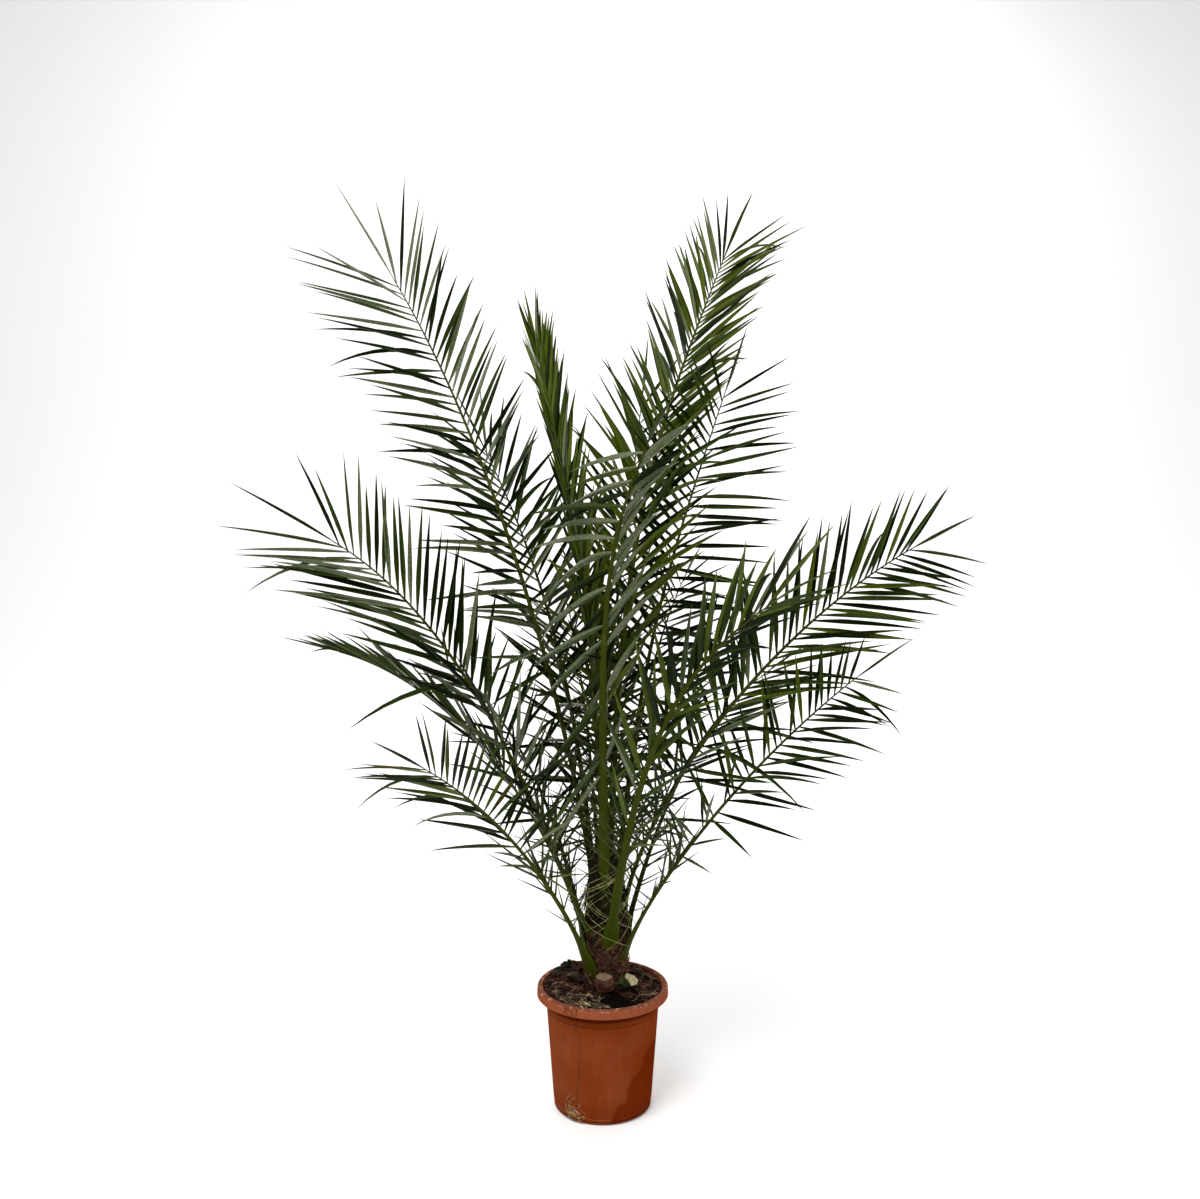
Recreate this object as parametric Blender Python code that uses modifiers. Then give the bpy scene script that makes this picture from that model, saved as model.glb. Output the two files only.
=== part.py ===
"""A potted canary island date palm, about 2.2 m tall, in metres.

The origin is the centre of the pot's flat underside. +Z is up, -Y is the front and +X the right.
A short trunk stands in the potting soil. Old leaf stubs and the living fronds leave it all round:
the oldest fronds lowest and most spread, the youngest highest and most upright. Each frond is one
rib that tapers from a broad foot to a fine tip, with two rows of folded leaflets fused to it.
"""

import math

import bmesh
import bpy
import numpy as np
from mathutils import Matrix, Vector
from mathutils.bvhtree import BVHTree

GAP = 0.0003  # clearance between pieces that touch

POT_HEIGHT = 0.285
RIM_RADIUS = 0.150
RIM_DEPTH = 0.022
RIM_INNER_RADIUS = 0.137
RIM_THICKNESS = 0.009
RIM_ROUNDING = 0.0035
SKIRT_ROUNDING = 0.0015
NECK_RADIUS = 0.1315
NECK_HEIGHT = POT_HEIGHT - RIM_DEPTH
LEDGE_RISE = 0.007
FOOT_RADIUS = 0.1115
FOOT_INSET = 0.006
POT_WALL = 0.003
POT_FLOOR = 0.004
GROOVE_DEPTH = 0.0012
NECK_GROOVE = (0.241, 0.239)
FOOT_GROOVE = (0.026, 0.022, 0.006)
POT_STEPS = 36
DRAIN_HOLES = 8
DRAIN_STEPS = 10
DRAIN_RADIUS = 0.006
DRAIN_CIRCLE = 0.088

SOIL_EDGE_HEIGHT = 0.256
SOIL_TOP = 0.268
SOIL_PLATEAU = 0.085

# The trunk's height above the pot's underside and its radius there, foot to tip.
TRUNK_PROFILE = (
    (SOIL_TOP + GAP, 0.044),
    (0.300, 0.047),
    (0.360, 0.045),
    (0.430, 0.041),
    (0.500, 0.034),
    (0.570, 0.025),
    (0.630, 0.013),
)
TRUNK_PLACE = (0.008, 0.008, 0.0)  # the trunk stands a little off the pot's axis
TRUNK_TIP = 0.650
TRUNK_STEPS = 24

# Distance from a rib's foot, then its width and thickness there as shares of the trunk's radius.
RIB_FOOT = ((0.0, 0.74, 0.24), (0.065, 0.44, 0.22), (0.12, 0.32, 0.20))
FOOT_STALK = 1.35  # the most that a wide stalk widens its foot
BLADE_START = 0.25
BLADE_START_SIZE = (0.0115, 0.009)
TIP_SIZE = (0.0045, 0.0035)
RIB_SINK = 0.006
STALK_RING = 0.18
RIB_RINGS = 15
TIP_PULL = 0.38

LEAFLET_SPACING = 0.058
LEAFLET_LENGTH = 0.27
LEAFLET_WIDTH = 0.028
LEAFLET_DEPTH = 0.0055
LEAFLET_ROOT = 0.30
LEAFLET_BROADEST = 0.38
LEAFLET_RISE = 18
# Along the blade: share of it, angle of the leaflets to the rib in degrees, share of full length.
LEAFLET_RULE = (
    (0.0, 86, 0.66),
    (0.10, 77, 0.88),
    (0.30, 62, 1.0),
    (0.80, 50, 1.0),
    (0.94, 40, 1.0),
    (1.0, 22, 1.0),
)
TIP_BEGINS = 0.7  # share of the blade where its leaflets begin to shorten towards its tip
CLOSING = 0.8  # share of the blade where the spread begins to change to that at its tip
LEAST_ANGLE, MOST_ANGLE = 9, 125
# A leaflet at less than this angle to its rib is narrower, down to the least share of full width.
NARROWING_ANGLE = 40
LEAST_WIDTH = 0.5
TIP_LEAFLET_SINK = 0.004
# What a leaflet tries where it would touch another frond: more or less rise, then less length.
DODGES = [(turn, share) for share in (1.0, 0.8, 0.6) for turn in (0, 7, -7, 14, -14, 22, -22)]
DODGE_CLEARANCE = 0.0006

# Name, foot's turn in degrees from +X, foot's height, swing of the tip from the foot's turn, tip's
# reach from the pot's axis, tip's height, rise at the foot, rise at the tip, how far the foot's
# direction holds as a share of the way, roll of the blade, width of the stalk.
FRONDS = (
    ("frond_low_left", 222, 0.312, -22, 0.408, 0.822, 72, 33, 0.22, -50, 1.0),
    ("frond_low_right", 340, 0.335, 13, 0.556, 1.006, 84, 40, 0.15, -65, 0.9),
    ("frond_low_back_right", 48, 0.320, -6, 0.55, 0.94, 68, 20, 0.38, -20, 0.9),
    ("frond_low_back", 98, 0.325, 0, 0.60, 1.04, 70, 22, 0.38, 0, 0.9),
    ("frond_low_back_left", 146, 0.310, -4, 0.50, 0.98, 76, 22, 0.38, 10, 0.9),
    ("frond_left_behind", 176, 0.345, 3, 0.589, 1.051, 83, 15, 0.21, -5, 0.9),
    ("frond_right", 20, 0.400, -15, 0.704, 1.281, 90, 29, 0.21, -70, 1.1),
    ("frond_back_right", 72, 0.380, -2, 0.64, 1.16, 72, 28, 0.38, -20, 1.0),
    ("frond_front_right", 282, 0.385, 25, 0.528, 1.209, 65, 30, 0.50, 30, 1.6),
    ("frond_left", 206, 0.404, -23, 0.588, 1.300, 53, 31, 0.08, 70, 1.1),
    ("frond_back_left", 122, 0.410, 4, 0.50, 1.50, 82, 46, 0.38, 30, 1.1),
    ("frond_right_upright", 52, 0.470, -13, 0.371, 1.634, 80, 66, 0.50, -40, 1.1),
    ("frond_front", 264, 0.447, 28, 0.24, 1.51, 88, 42, 0.50, 45, 2.0),
    ("frond_upper_left", 152, 0.484, -14, 0.703, 1.923, 83, 49, 0.20, 40, 1.3),
    ("frond_upper_right", 64, 0.532, -4, 0.623, 1.988, 88, 50, 0.50, -25, 1.5),
    ("frond_centre_back", 104, 0.505, -28, 0.40, 1.62, 80, 66, 0.38, -10, 1.0),
    ("frond_young", 125, 0.578, -10, 0.373, 1.734, 88, 62, 0.50, 25, 1.2),
)
# Name: size, spread and spread at the tip of the left-hand leaflets, then of the right-hand ones,
# length of the last ones and of the one at the tip, droop.
BLADES = {
    "frond_low_left": (0.54, 1.25, 1.0, 0.80, 0.85, 2.0, 0.95, 0.45, 0.03),
    "frond_low_right": (0.70, 1.0, 1.0, 0.80, 0.95, 2.0, 0.6, 0.6, 0.05),
    "frond_low_back_right": (0.80, 1.0, 1.0, 0.80, 1.0, 1.0, 0.8, 0.7, 0.03),
    "frond_low_back": (0.85, 1.0, 1.0, 0.85, 1.0, 1.0, 0.8, 0.7, 0.03),
    "frond_low_back_left": (0.75, 1.0, 1.0, 0.75, 1.0, 1.0, 0.8, 0.7, 0.03),
    "frond_left_behind": (0.74, 0.45, 1.0, 0.70, 0.40, 1.0, 0.65, 0.5, 0.03),
    "frond_right": (0.94, 0.78, 1.2, 0.96, 0.82, 2.0, 0.7, 0.6, 0.03),
    "frond_back_right": (0.78, 1.0, 1.0, 0.78, 1.0, 1.0, 0.8, 0.7, 0.03),
    "frond_front_right": (0.60, 0.6, 1.8, 0.85, 0.5, 0.8, 1.25, 0.75, 0.05),
    "frond_left": (1.1, 0.75, 1.3, 0.92, 0.75, 1.7, 0.93, 0.95, 0.03),
    "frond_back_left": (0.90, 0.8, 1.0, 0.90, 0.8, 1.0, 0.9, 0.8, 0.03),
    "frond_right_upright": (0.84, 1.1, 1.0, 0.88, 1.35, 1.3, 0.8, 0.65, 0.03),
    "frond_front": (0.80, 0.35, 1.0, 0.75, 1.7, 2.0, 0.9, 0.6, 0.12),
    "frond_upper_left": (0.90, 1.3, 1.1, 0.85, 0.85, 1.0, 1.3, 1.35, 0.03),
    "frond_upper_right": (0.88, 0.62, 1.15, 0.92, 0.66, 1.9, 1.0, 1.05, 0.03),
    "frond_centre_back": (0.90, 0.9, 1.0, 0.90, 0.9, 1.0, 0.8, 0.7, 0.03),
    "frond_young": (0.75, 0.10, 1.0, 0.80, 0.30, 1.0, 0.9, 0.7, 0.02),
}

# Name, turn, height, rise, length, width and thickness of the old leaf bases left on the trunk.
STUBS = (
    ("stub_front_right", 317, 0.296, 30, 0.048, 0.036, 0.026),
    ("stub_front", 268, 0.297, 58, 0.056, 0.040, 0.024),
    ("stub_left", 180, 0.290, 20, 0.050, 0.030, 0.013),
)

GREEN = (0.062, 0.080, 0.022)
BRIGHT_GREEN = (0.115, 0.150, 0.030)


def clear_scene():
    for obj in list(bpy.data.objects):
        bpy.data.objects.remove(obj, do_unlink=True)


def new_collection(name):
    collection = bpy.data.collections.new(name)
    bpy.context.scene.collection.children.link(collection)
    return collection


def material(name, colour, roughness):
    made = bpy.data.materials.new(name)
    made.use_nodes = True
    shader = made.node_tree.nodes["Principled BSDF"]
    shader.inputs["Base Color"].default_value = (*colour, 1.0)
    shader.inputs["Roughness"].default_value = roughness
    shader.inputs["Metallic"].default_value = 0.0
    return made


def mesh_object(name, points, faces, collection, finish=None):
    mesh = bpy.data.meshes.new(name)
    mesh.from_pydata([tuple(map(float, p)) for p in points], [], faces)
    mesh.update()
    obj = bpy.data.objects.new(name, mesh)
    collection.objects.link(obj)
    if finish:
        mesh.materials.append(finish)
    return obj


def turned(name, profile, steps, collection, finish=None):
    """A profile of (radius, height) points that starts and ends on the axis, turned about Z."""
    mesh = bpy.data.meshes.new(name)
    edges = [(i, i + 1) for i in range(len(profile) - 1)]
    mesh.from_pydata([(radius, 0.0, height) for radius, height in profile], edges, [])
    obj = bpy.data.objects.new(name, mesh)
    collection.objects.link(obj)
    screw = obj.modifiers.new("turn", "SCREW")
    screw.steps = screw.render_steps = steps
    screw.use_merge_vertices = True
    screw.merge_threshold = 0.0001
    if finish:
        mesh.materials.append(finish)
    return obj


def applied(obj):
    """The object with its modifiers made into its mesh."""
    graph = bpy.context.evaluated_depsgraph_get()
    mesh = bpy.data.meshes.new_from_object(obj.evaluated_get(graph))
    obj.modifiers.clear()
    obj.data = mesh
    return obj


def boolean(obj, operation, solver, cutter=None, collection=None):
    modifier = obj.modifiers.new(operation.lower(), "BOOLEAN")
    modifier.operation = operation
    modifier.solver = solver
    if collection:
        modifier.operand_type = "COLLECTION"
        modifier.collection = collection
    else:
        modifier.object = cutter


def body_radius(height):
    """The pot wall's outer radius at a height, between its foot and the underside of the rim."""
    return FOOT_RADIUS + (NECK_RADIUS - FOOT_RADIUS) * height / NECK_HEIGHT


def pot_profile():
    """Floor, inner wall, ledge, rim, the rim's hanging skirt and the outer wall with its grooves."""
    under_rim = POT_HEIGHT - RIM_THICKNESS
    ring, below_ring = NECK_GROOVE
    foot_ring, below_foot_ring, foot_edge = FOOT_GROOVE
    return [
        (0.0, POT_FLOOR),
        (body_radius(POT_FLOOR) - POT_WALL, POT_FLOOR),
        (NECK_RADIUS - POT_WALL, NECK_HEIGHT),
        (RIM_INNER_RADIUS, NECK_HEIGHT + LEDGE_RISE),
        (RIM_INNER_RADIUS, POT_HEIGHT - RIM_ROUNDING),
        (RIM_INNER_RADIUS + RIM_ROUNDING, POT_HEIGHT),
        (RIM_RADIUS - RIM_ROUNDING, POT_HEIGHT),
        (RIM_RADIUS, POT_HEIGHT - RIM_ROUNDING),
        (RIM_RADIUS, NECK_HEIGHT + SKIRT_ROUNDING),
        (RIM_RADIUS - SKIRT_ROUNDING, NECK_HEIGHT),
        (RIM_RADIUS - POT_WALL, NECK_HEIGHT),
        (RIM_RADIUS - POT_WALL, under_rim),
        (RIM_INNER_RADIUS + POT_WALL, under_rim),
        (RIM_INNER_RADIUS + POT_WALL, NECK_HEIGHT + LEDGE_RISE - POT_WALL),
        (NECK_RADIUS, NECK_HEIGHT - POT_WALL / 2),
        (body_radius(ring), ring),
        (body_radius(ring) - GROOVE_DEPTH, below_ring),
        (body_radius(foot_ring), foot_ring),
        (body_radius(below_foot_ring) - GROOVE_DEPTH, below_foot_ring),
        (body_radius(foot_edge) - GROOVE_DEPTH, foot_edge),
        (FOOT_RADIUS - FOOT_INSET, 0.0),
        (0.0, 0.0),
    ]


def make_pot(parts, cutters):
    finish = material("terracotta_plastic", (0.20, 0.040, 0.012), 0.5)
    pot = turned("pot", pot_profile(), POT_STEPS, parts, finish)
    bm = bmesh.new()
    for i in range(DRAIN_HOLES):
        turn = 2 * math.pi * i / DRAIN_HOLES
        x, y = DRAIN_CIRCLE * math.cos(turn), DRAIN_CIRCLE * math.sin(turn)
        bmesh.ops.create_cone(
            bm, cap_ends=True, segments=DRAIN_STEPS, radius1=DRAIN_RADIUS, radius2=DRAIN_RADIUS,
            depth=2 * POT_FLOOR, matrix=Matrix.Translation((x, y, POT_FLOOR / 2)),
        )
    mesh = bpy.data.meshes.new("drain_holes")
    bm.to_mesh(mesh)
    bm.free()
    holes = bpy.data.objects.new("drain_holes", mesh)
    holes.hide_render = True
    holes.display_type = "WIRE"
    cutters.objects.link(holes)
    boolean(pot, "DIFFERENCE", "EXACT", cutter=holes)


def make_soil(parts):
    """The potting soil, from the pot's floor to just under the rim, a little higher round the trunk."""
    bottom = POT_FLOOR + GAP
    inside = POT_WALL + GAP
    profile = [
        (0.0, SOIL_TOP),
        (SOIL_PLATEAU, SOIL_TOP),
        (body_radius(SOIL_EDGE_HEIGHT) - inside, SOIL_EDGE_HEIGHT),
        (body_radius(bottom) - inside, bottom),
        (0.0, bottom),
    ]
    turned("soil", profile, POT_STEPS, parts, material("potting_soil", (0.032, 0.016, 0.008), 0.95))


def trunk_radius(height):
    heights, radii = zip(*TRUNK_PROFILE)
    return float(np.interp(height, heights, radii))


def trunk_shape(name, grow, collection, finish=None):
    """The trunk, or with grow a copy of it that much fatter all round and longer at both ends."""
    tip = TRUNK_TIP + grow
    foot = TRUNK_PROFILE[0][0] - grow
    heights = [foot] + [height for height, _ in TRUNK_PROFILE[1:]]
    sides = [(radius + grow, height) for height, (_, radius) in zip(heights, TRUNK_PROFILE)]
    profile = [(0.0, tip), *sides[::-1], (0.0, foot)]
    obj = applied(turned(name, profile, TRUNK_STEPS, collection, finish))
    obj.data.transform(Matrix.Translation(TRUNK_PLACE))
    return obj


def unit(rows):
    return rows / np.linalg.norm(rows, axis=-1, keepdims=True)


def heading(turn, rise):
    """The unit direction at a turn about Z from +X and a rise above level, both in degrees."""
    turn, rise = math.radians(turn), math.radians(rise)
    return np.array([math.cos(turn) * math.cos(rise), math.sin(turn) * math.cos(rise), math.sin(rise)])


def on_trunk(turn, height):
    """The point just inside the trunk's side, at a turn and a height, where a limb begins."""
    return heading(turn, 0) * (trunk_radius(height) - RIB_SINK) + (0, 0, height) + TRUNK_PLACE


class Path:
    """A rib's middle line: a cubic curve from its foot to its tip, read by distance along it.

    at() gives, for distances from the foot, the points, the directions along the line, and the
    blade's side and face directions, rolled about the line by more and more towards the tip.
    """

    def __init__(self, turn, foot, swing, reach, top, rise, fall, pull, roll):
        start = on_trunk(turn, foot)
        end = heading(turn + swing, 0) * reach + (0, 0, top)
        way = np.linalg.norm(end - start)
        second = start + pull * way * heading(turn, rise)
        third = end - TIP_PULL * way * heading(turn + swing, fall)
        u = np.linspace(0, 1, 400)[:, None]
        keep = 1 - u
        self.points = keep**3 * start + 3 * u * keep**2 * second + 3 * u**2 * keep * third + u**3 * end
        steps = np.linalg.norm(np.diff(self.points, axis=0), axis=1)
        self.distances = np.concatenate([[0], np.cumsum(steps)])
        self.length = self.distances[-1]
        self.turn, self.swing, self.roll = turn, swing, roll

    def point(self, distances):
        inside = np.clip(distances, 0, self.length)
        return np.stack([np.interp(inside, self.distances, self.points[:, k]) for k in range(3)], -1)

    def at(self, distances):
        distances = np.atleast_1d(np.asarray(distances, float))
        nudge = 0.002 * self.length
        along = unit(self.point(distances + nudge) - self.point(distances - nudge))
        turn = np.radians(self.turn + self.swing * distances / self.length)
        side = np.stack([np.sin(turn), -np.cos(turn), 0 * turn], -1)
        side = unit(side - (side * along).sum(-1, keepdims=True) * along)
        face = np.cross(side, along)
        first = 0.4 * BLADE_START
        share = np.clip((distances - first) / (0.75 * self.length - first), 0, 1)
        roll = np.radians(self.roll) * (share**2 * (3 - 2 * share))
        roll = roll[:, None]
        rolled_side = side * np.cos(roll) + face * np.sin(roll)
        return self.point(distances), along, rolled_side, np.cross(rolled_side, along)


def lofted(points, sides, faces, widths, depths):
    """A five-sided limb: flat on its face side and keeled behind. Returns its points and faces."""
    outline = np.array([(-0.5, 0.25), (0.5, 0.25), (0.42, -0.35), (0.0, -0.75), (-0.42, -0.35)])
    rings = (
        points[:, None]
        + outline[None, :, :1] * (widths[:, None] * sides)[:, None]
        + outline[None, :, 1:] * (depths[:, None] * faces)[:, None]
    )
    count, around = len(points), len(outline)
    made = [tuple(range(around))[::-1], tuple((count - 1) * around + k for k in range(around))]
    for ring in range(count - 1):
        for k in range(around):
            a, b = ring * around + k, ring * around + (k + 1) % around
            made.append((a, b, b + around, a + around))
    return rings.reshape(-1, 3), made


def rib_sizes(distances, radius, stalk, length):
    """Width and thickness along a rib: broad and flat where it clasps the trunk, fine at its tip."""
    rows = [(at, radius * width * stalk, radius * thick) for at, width, thick in RIB_FOOT]
    rows[0] = (0.0, radius * RIB_FOOT[0][1] * min(stalk, FOOT_STALK), radius * RIB_FOOT[0][2])
    rows += [(BLADE_START, BLADE_START_SIZE[0] * stalk, BLADE_START_SIZE[1]), (length, *TIP_SIZE)]
    stations, widths, depths = zip(*rows)
    return np.interp(distances, stations, widths), np.interp(distances, stations, depths)


def rib_stations(path):
    """Where along a rib its rings are."""
    near = [row[0] for row in RIB_FOOT]
    return np.concatenate([near, np.linspace(STALK_RING, path.length, RIB_RINGS - len(near))])


def rib_shape(path, foot, stalk):
    distances = rib_stations(path)
    points, _, sides, faces = path.at(distances)
    widths, depths = rib_sizes(distances, trunk_radius(foot), stalk, path.length)
    return lofted(points, sides, faces, widths, depths)


def leaflet_shape(root, along, across, length, width, droop, grow=0.0):
    """A folded leaflet: flat above and keeled below, from a narrow root to its broadest and a point.

    It sags by the droop times its length at the point, and by the square of the way along before it.
    """
    below = np.cross(along, across)
    width, depth = width + 2 * grow, LEAFLET_DEPTH * width / LEAFLET_WIDTH + 2 * grow
    section = np.array([(-0.5, -0.3), (0.5, -0.3), (0.0, 0.7)])
    flat = section[:, :1] * width * across + section[:, 1:] * depth * below
    broadest = root + along * length * LEAFLET_BROADEST
    tip = root + along * (length + grow)
    broadest[2] -= droop * length * LEAFLET_BROADEST**2
    tip[2] -= droop * length
    points = np.concatenate([root + flat * LEAFLET_ROOT, broadest + flat, [tip]])
    faces = [(0, 2, 1), (0, 1, 4, 3), (1, 2, 5, 4), (2, 0, 3, 5), (3, 4, 6), (4, 5, 6), (5, 3, 6)]
    return points, faces


def tree(points, faces):
    return BVHTree.FromPolygons([Vector(p) for p in points], faces)


def free_leaflet(sizes, directions, obstacles):
    """The first of the leaflet's dodges that touches nothing of the other fronds, or None."""
    root, along_rib, outward, face, angle = directions
    length, width, droop = sizes
    for extra_rise, share in DODGES:
        rise = math.radians(LEAFLET_RISE + extra_rise)
        out = outward * math.cos(rise) + face * math.sin(rise)
        along = along_rib * math.cos(angle) + out * math.sin(angle)
        across = unit(np.cross(along, face * math.cos(rise) - outward * math.sin(rise)))
        placed = (root, along, across, length * share, width, droop)
        tested = tree(*leaflet_shape(*placed, DODGE_CLEARANCE))
        if not any(tested.overlap(other) for other in obstacles):
            return leaflet_shape(*placed)
    return None


def leaflets(path, left, right, tip, end, droop, obstacles):
    """Both rows of leaflets and the one at the tip, without those that would touch another frond."""
    stations, angles, shares = zip(*LEAFLET_RULE)
    rings = rib_stations(path)
    chords = path.point(rings)
    blade = path.length - BLADE_START
    pairs = round(blade / LEAFLET_SPACING)
    made = []
    for i in range(pairs * 2):
        share = (i + 0.5) / (pairs * 2)
        hand, (size, spread, tip_spread) = (1, right) if i % 2 else (-1, left)
        distance = BLADE_START + blade * share
        root = np.array([np.interp(distance, rings, chords[:, k]) for k in range(3)])
        _, alongs, sides, faces = path.at(distance)
        spread = np.interp(share, [CLOSING, 1], [spread, spread * tip_spread])
        angle = math.radians(np.clip(np.interp(share, stations, angles) * spread, LEAST_ANGLE, MOST_ANGLE))
        full = float(np.interp(share, stations, shares) * np.interp(share, [TIP_BEGINS, 1], [1, tip]))
        narrowing = math.sin(angle) / math.sin(math.radians(NARROWING_ANGLE))
        width = LEAFLET_WIDTH * min(1.0, max(LEAST_WIDTH, narrowing))
        sizes = (LEAFLET_LENGTH * size * full, width, droop)
        directions = (root, alongs[0], sides[0] * hand, faces[0], angle)
        made.append(free_leaflet(sizes, directions, obstacles))
    points, alongs, sides, faces = path.at(path.length - TIP_LEAFLET_SINK)
    directions = (points[0], alongs[0], sides[0], faces[0], 0.0)
    sizes = (LEAFLET_LENGTH * end, LEAFLET_WIDTH * LEAST_WIDTH, droop)
    made.append(free_leaflet(sizes, directions, obstacles))
    return [leaflet for leaflet in made if leaflet]


def is_one_body(mesh):
    """Whether a mesh is closed and all of it hangs together."""
    bm = bmesh.new()
    bm.from_mesh(mesh)
    closed = bool(bm.faces) and all(len(edge.link_faces) == 2 for edge in bm.edges)
    seen, front = set(), [next(iter(bm.verts))]
    while front:
        vert = front.pop()
        if vert not in seen:
            seen.add(vert)
            front += [edge.other_vert(vert) for edge in vert.link_edges]
    whole = closed and len(seen) == len(bm.verts)
    bm.free()
    return whole


def fused(name, rib, leaves, cutter, parts, finish):
    """One frond: the rib cut clear of the trunk, with every leaflet joined to it."""
    obj = mesh_object(name, *rib, parts, finish)
    helpers = new_collection(name + "_leaflets")
    for i, (points, faces) in enumerate(leaves):
        mesh_object(f"{name}_leaflet_{i}", points, faces, helpers)
    whole = obj.data.copy()
    for solver in ("EXACT", "MANIFOLD"):
        obj.data = whole.copy()
        boolean(obj, "DIFFERENCE", solver, cutter=cutter)
        boolean(obj, "UNION", solver, collection=helpers)
        applied(obj)
        if is_one_body(obj.data):
            break
    for helper in list(helpers.objects):
        bpy.data.objects.remove(helper, do_unlink=True)
    bpy.data.collections.remove(helpers)
    return obj


def make_fronds(parts, cutter, trunk):
    graph = bpy.context.evaluated_depsgraph_get()
    taken = {"trunk": BVHTree.FromObject(trunk, graph)}
    paths, ribs = {}, {}
    for name, turn, foot, *bend, stalk in FRONDS:
        paths[name] = Path(turn, foot, *bend)
        ribs[name] = rib_shape(paths[name], foot, stalk)
        taken[name] = tree(*ribs[name])
    for name, path in paths.items():
        others = [other for key, other in taken.items() if key != name]
        *rows, tip, end, droop = BLADES[name]
        leaves = leaflets(path, rows[:3], rows[3:], tip, end, droop, others)
        points, faces = [*ribs[name][0]], [*ribs[name][1]]
        for leaf_points, leaf_faces in leaves:
            faces += [tuple(i + len(points) for i in face) for face in leaf_faces]
            points += [*leaf_points]
        taken[name] = tree(points, faces)
        colour = BRIGHT_GREEN if name == "frond_young" else GREEN
        fused(name, ribs[name], leaves, cutter, parts, material(name + "_green", colour, 0.5))


def make_stubs(parts, cutter):
    """Old leaf bases: short, flat-cut lengths of rib that still clasp the trunk."""
    finish = material("old_leaf_base", (0.055, 0.050, 0.018), 0.8)
    for name, turn, height, rise, length, width, thickness in STUBS:
        distances = np.linspace(0, length, 4)
        points = on_trunk(turn, height) + distances[:, None] * heading(turn, rise)
        side = np.array([math.sin(math.radians(turn)), -math.cos(math.radians(turn)), 0.0])
        face = np.cross(side, heading(turn, rise))
        rows = (np.tile(side, (4, 1)), np.tile(face, (4, 1)))
        widths = width * np.array([1.0, 0.95, 0.85, 0.8])
        shape = lofted(points, *rows, widths, np.full(4, thickness))
        stub = mesh_object(name, *shape, parts, finish)
        boolean(stub, "DIFFERENCE", "EXACT", cutter=cutter)


def main():
    clear_scene()
    parts = new_collection("potted_date_palm")
    cutters = new_collection("cutters")
    make_pot(parts, cutters)
    make_soil(parts)
    trunk = trunk_shape("trunk", 0.0, parts, material("fibrous_trunk", (0.045, 0.026, 0.013), 0.95))
    clearance = trunk_shape("trunk_clearance", GAP, cutters)
    clearance.hide_render = True
    clearance.display_type = "WIRE"
    make_stubs(parts, clearance)
    make_fronds(parts, clearance, trunk)
    for obj in parts.objects:
        obj.data.shade_smooth()
        obj.data.set_sharp_from_angle(angle=math.radians(30))


main()
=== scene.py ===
"""A young canary island date palm in a terracotta-coloured plastic pot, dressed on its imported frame."""

import math

import bmesh
import bpy
import numpy as np
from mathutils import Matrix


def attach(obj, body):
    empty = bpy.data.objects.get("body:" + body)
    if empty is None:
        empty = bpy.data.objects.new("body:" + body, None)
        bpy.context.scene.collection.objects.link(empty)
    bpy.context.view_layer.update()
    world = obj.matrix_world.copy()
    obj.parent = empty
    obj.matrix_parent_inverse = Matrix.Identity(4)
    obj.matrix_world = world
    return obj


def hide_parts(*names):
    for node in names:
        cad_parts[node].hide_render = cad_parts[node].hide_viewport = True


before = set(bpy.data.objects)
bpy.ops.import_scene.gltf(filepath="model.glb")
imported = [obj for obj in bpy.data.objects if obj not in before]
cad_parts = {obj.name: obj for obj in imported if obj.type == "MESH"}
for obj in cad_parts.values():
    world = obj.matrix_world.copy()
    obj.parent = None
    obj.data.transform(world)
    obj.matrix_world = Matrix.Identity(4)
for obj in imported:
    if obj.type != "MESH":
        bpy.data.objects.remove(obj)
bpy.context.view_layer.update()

# Camera. It stands 2.9 m in front of the palm, a little above the middle of the crown, and looks
# slightly down, as the photograph was taken.
CAMERA_PLACE = (-0.006, -2.9, 1.5)
CAMERA_DOWN = math.radians(6.5)
FOCAL_PIXELS = 1318
PICTURE_PIXELS = 1200

camera_data = bpy.data.cameras.new("camera")
camera_data.sensor_width = 36.0
camera_data.lens = camera_data.sensor_width * FOCAL_PIXELS / PICTURE_PIXELS
camera = bpy.data.objects.new("camera", camera_data)
camera.location = CAMERA_PLACE
camera.rotation_euler = (math.pi / 2 - CAMERA_DOWN, 0, 0)
bpy.context.collection.objects.link(camera)
bpy.context.scene.camera = camera


# Light. A bright even sky as on a light overcast day, with one large soft lamp high on the left
# front that gives the upper faces of the leaves their gloss, a weak one on the right and one that
# lights the backdrop.
def soft_lamp(name, place, target, size, watts):
    """A square area lamp at a place, turned to face a target."""
    data = bpy.data.lights.new(name, "AREA")
    data.size = size
    data.energy = watts
    lamp = bpy.data.objects.new(name, data)
    away = np.subtract(place, target)
    yaw = math.atan2(away[1], away[0]) + math.pi / 2
    pitch = math.atan2(math.hypot(away[0], away[1]), away[2])
    lamp.location = place
    lamp.rotation_euler = (pitch, 0, yaw)
    bpy.context.collection.objects.link(lamp)


CROWN_MIDDLE = (0, 0, 1.0)
BACKDROP = (0, 4.5, 1.0)
SKY_STRENGTH = 0.55
soft_lamp("sky_lamp", (-1.4, -2.0, 4.8), CROWN_MIDDLE, 2.6, 210)
soft_lamp("fill_lamp", (3.0, -2.6, 2.4), CROWN_MIDDLE, 2.0, 30)
soft_lamp("back_lamp", (0.5, 3.4, 4.6), BACKDROP, 4.0, 160)
world = bpy.data.worlds.new("pale_sky")
world.use_nodes = True
sky = world.node_tree.nodes["Background"]
sky.inputs["Color"].default_value = (1.0, 1.0, 1.0, 1.0)
sky.inputs["Strength"].default_value = SKY_STRENGTH
bpy.context.scene.world = world
bpy.context.scene.view_settings.view_transform = "Standard"


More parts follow.
